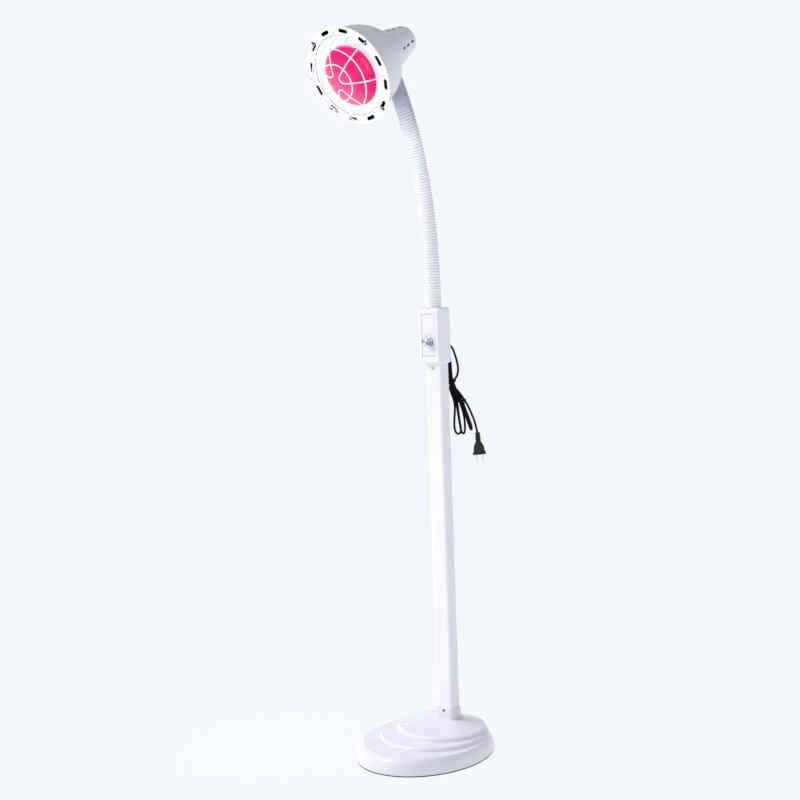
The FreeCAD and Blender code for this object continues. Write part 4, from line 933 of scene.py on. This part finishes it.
# %% Painted recess shade on the panel
# The band just inside the film's edge is painted shade from the recess.
RECESS_SHADE_TINT, RECESS_SHADE_MARGINS = (0.68, 0.66, 0.74), (0.0020, 0.0014)
low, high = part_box("panel_plate")
tree = panel_film.node_tree
plain, socket = base_colour(tree)
spot = split(tree, object_place(tree))
margins = []
for axis in (0, 2):
    middle, half = (low[axis] + high[axis]) / 2, (high[axis] - low[axis]) / 2
    away = maths(tree, "ABSOLUTE", maths(tree, "SUBTRACT", spot[axis], middle))
    margins.append(maths(tree, "SUBTRACT", half, away))
recess_shade = ramped(tree, maths(tree, "MINIMUM", *margins), *RECESS_SHADE_MARGINS)
tree.links.new(mix_colour(tree, recess_shade, plain, colour_node(tree, RECESS_SHADE_TINT)), socket)

# %% Painted reflection fans on the knob
# The dark fans are a painted reflection of the room.
FAN_REFLECTION_TINT, FAN_MOST = (0.14, 0.14, 0.20), 0.75
FAN_ALONG, FAN_EDGE = (0.94, 0, -0.34), (0.82, 0.96)
tree = chrome.node_tree
plated, socket = base_colour(tree)
from_knob = vectors(tree, "SUBTRACT", object_place(tree), mm(0, KNOB_FRONT, KNOB_HEIGHT))
unit = vectors(tree, "NORMALIZE", vectors(tree, "MULTIPLY", from_knob, (1, 0, 1)))
both_ways = maths(tree, "ABSOLUTE", vectors(tree, "DOT_PRODUCT", unit, FAN_ALONG))
fans = ramped(tree, both_ways, *FAN_EDGE, 0, FAN_MOST)
tree.links.new(mix_colour(tree, fans, plated, colour_node(tree, FAN_REFLECTION_TINT)), socket)
print("panel from", [round(x, 4) for x in low], "to", [round(x, 4) for x in high])

# %% [markdown]
# ## Red bulb glass
#
# The bulb is red glass in front and silvered behind. It could be two materials that meet at a
# ring of faces, but the red coat thins out gradually, so one material follows the distance from
# a point just beside the lamp's axis: full crimson, then a thin pale band at the rounded edge,
# and silver from there back. The lower left of the face is painted paler, as a reflection of the
# floor, and fine dark lines of painted shade mark the flutes. Behind the widest ring everything
# is silvered.

# %% Bulb material
FACE_CENTRE, FACE_SPAN = (0.005, 0.0055, 0), 0.0705
FACE_STOPS = (
    (0, (0.90, 0.05, 0.23)), (0.30, (0.84, 0.012, 0.19)), (0.84, (0.80, 0.002, 0.155)),
    (0.885, (0.86, 0.06, 0.28)), (0.915, (0.95, 0.55, 0.70)), (0.96, (0.90, 0.88, 0.92)),
    (1, (0.86, 0.87, 0.91)),
)
# The dark lines along the flutes are painted shade.
FLUTE_SHADE_TINT, LINE_MOST, LINE_EDGES = (0.45, 0, 0.06), 0.35, (0.2, 1)
LINES_START, LINES_END = (0.036, 0.044), (0.057, 0.0545)
# The paler lower left is a painted reflection of the floor.
FLOOR_REFLECTION_TINT, FLOOR_REFLECTION_MOST = (0.90, 0.33, 0.55), 0.55
FLOOR_REFLECTION_TOWARDS, FLOOR_REFLECTION_REACH = (-0.75, 0.66, 0), (-0.01, 0.055)
SILVER_TINT, SILVER_DEPTHS = (0.84, 0.85, 0.90), (0.006, 0.008)
DRIFT_SHARE = 0.25
red = finish(
    "red_glass", (0.88, 0.012, 0.15), (0.84, 0.02, 0.19), 0.3, coat=0.08, grain_size=320,
    bump=0.2, drift_size=14, Coat_Roughness=0.12, Specular_IOR_Level=0.2,
)
tree = red.node_tree
from_centre = vectors(tree, "SUBTRACT", object_place(tree), FACE_CENTRE)
right, up, back = split(tree, from_centre)
flat = add(tree, "CombineXYZ")
fill(tree, flat, (right, up))
distance = vectors(tree, "LENGTH", flat.outputs[0])
share = maths(tree, "DIVIDE", distance, FACE_SPAN, clamp=True)
ripple = maths(tree, "MULTIPLY", maths(tree, "ARCTAN2", up, right), FLUTES)
groove = ramped(tree, maths(tree, "SINE", ripple), *LINE_EDGES, 0, LINE_MOST)
started, ended = ramped(tree, distance, *LINES_START), ramped(tree, distance, *LINES_END)
lines = maths(tree, "MULTIPLY", groove, maths(tree, "MULTIPLY", started, ended))
face = colour_ramp(tree, share, FACE_STOPS)
face = mix_colour(tree, lines, face, colour_node(tree, FLUTE_SHADE_TINT))
aslant = vectors(tree, "DOT_PRODUCT", from_centre, FLOOR_REFLECTION_TOWARDS)
floor_reflection = ramped(tree, aslant, *FLOOR_REFLECTION_REACH, 0, FLOOR_REFLECTION_MOST)
face = mix_colour(tree, floor_reflection, face, colour_node(tree, FLOOR_REFLECTION_TINT))
behind = ramped(tree, back, *SILVER_DEPTHS)
whole = mix_colour(tree, behind, face, colour_node(tree, SILVER_TINT))
drifting, socket = base_colour(tree)
tree.links.new(mix_colour(tree, DRIFT_SHARE, whole, drifting, blend="SOFT_LIGHT"), socket)
dress(red, bulb)
print("materials:", len(bpy.data.materials))

# %% [markdown]
# ## Floor, room and lights
#
# The lamp stands in a bright white studio. A modelled room would cost time and give the same soft
# light, so the world stands for it: pale and even near the horizon, which is the background, and
# dimmer higher up, as a room is above its light walls, so surfaces that face up and back turn
# grey. A wide floor of the same pale colour carries the background on downwards. One strong soft
# light from the front left models the round shapes; two weak ones lift the base and the underside
# of the head.

# %% Room
PALE = (0.905, 0.93, 0.972)
WALL_TOP, CEILING, CEILING_SHARE = 0.25, 0.5, 0.38
FLOOR_HALF, FLOOR_GREY, FLOOR_GLOW = 30, (0.06, 0.06, 0.065), 0.955
scene = bpy.context.scene
scene.view_settings.view_transform = "Standard"
world = bpy.data.worlds.new("pale_room")
scene.world = world
world.use_nodes = True
backdrop = world.node_tree.nodes["Background"]
backdrop.inputs["Color"].default_value = (*PALE, 1)
room_nodes = world.node_tree
direction = split(room_nodes, add(room_nodes, "TexCoord").outputs["Generated"])
dimming = ramped(room_nodes, direction[2], WALL_TOP, CEILING, 1, CEILING_SHARE)
room_nodes.links.new(dimming, backdrop.inputs["Strength"])

corners = [(x * FLOOR_HALF, y * FLOOR_HALF, 0) for x, y in ((-1, -1), (1, -1), (1, 1), (-1, 1))]
floor = mesh_object("studio_floor", corners, [(0, 1, 2, 3)], smooth=False)
pale = bpy.data.materials.new("pale_floor")
pale.use_nodes = True
cover = pale.node_tree.nodes["Principled BSDF"]
cover.inputs["Base Color"].default_value = (*FLOOR_GREY, 1)
cover.inputs["Roughness"].default_value = 0.9
cover.inputs["Specular IOR Level"].default_value = 0.0
cover.inputs["Emission Color"].default_value = (*PALE, 1)
cover.inputs["Emission Strength"].default_value = FLOOR_GLOW
floor.data.materials.append(pale)


def soft_light(name, place, towards, wide, high, power, spread=180):
    """A rectangular light aimed at a point; spread narrows its beam, in degrees."""
    lamp = bpy.data.lights.new(name, "AREA")
    lamp.shape = "RECTANGLE"
    lamp.size, lamp.size_y = wide, high
    lamp.energy = power
    lamp.spread = math.radians(spread)
    light = bpy.data.objects.new(name, lamp)
    light.location = place
    aim = Vector(towards) - Vector(place)
    light.rotation_euler = aim.to_track_quat("-Z", "Y").to_euler()
    bpy.context.scene.collection.objects.link(light)
    return light


soft_light("key_left", (-1.5, -2.4, 3.3), (0, 0, 0.7), 0.8, 1.0, power=40)
base_glow = soft_light(
    "base_glow", (-0.9, -0.5, 1.2), (0, -0.08, 0), 0.9, 0.9, power=2.6, spread=70
)
base_glow.visible_glossy = False  # its reflection would white out the rims of the base
soft_light("head_fill", (0.4, -2.4, 0.3), (0, -0.2, 1.42), 0.6, 0.6, power=0.4, spread=22)
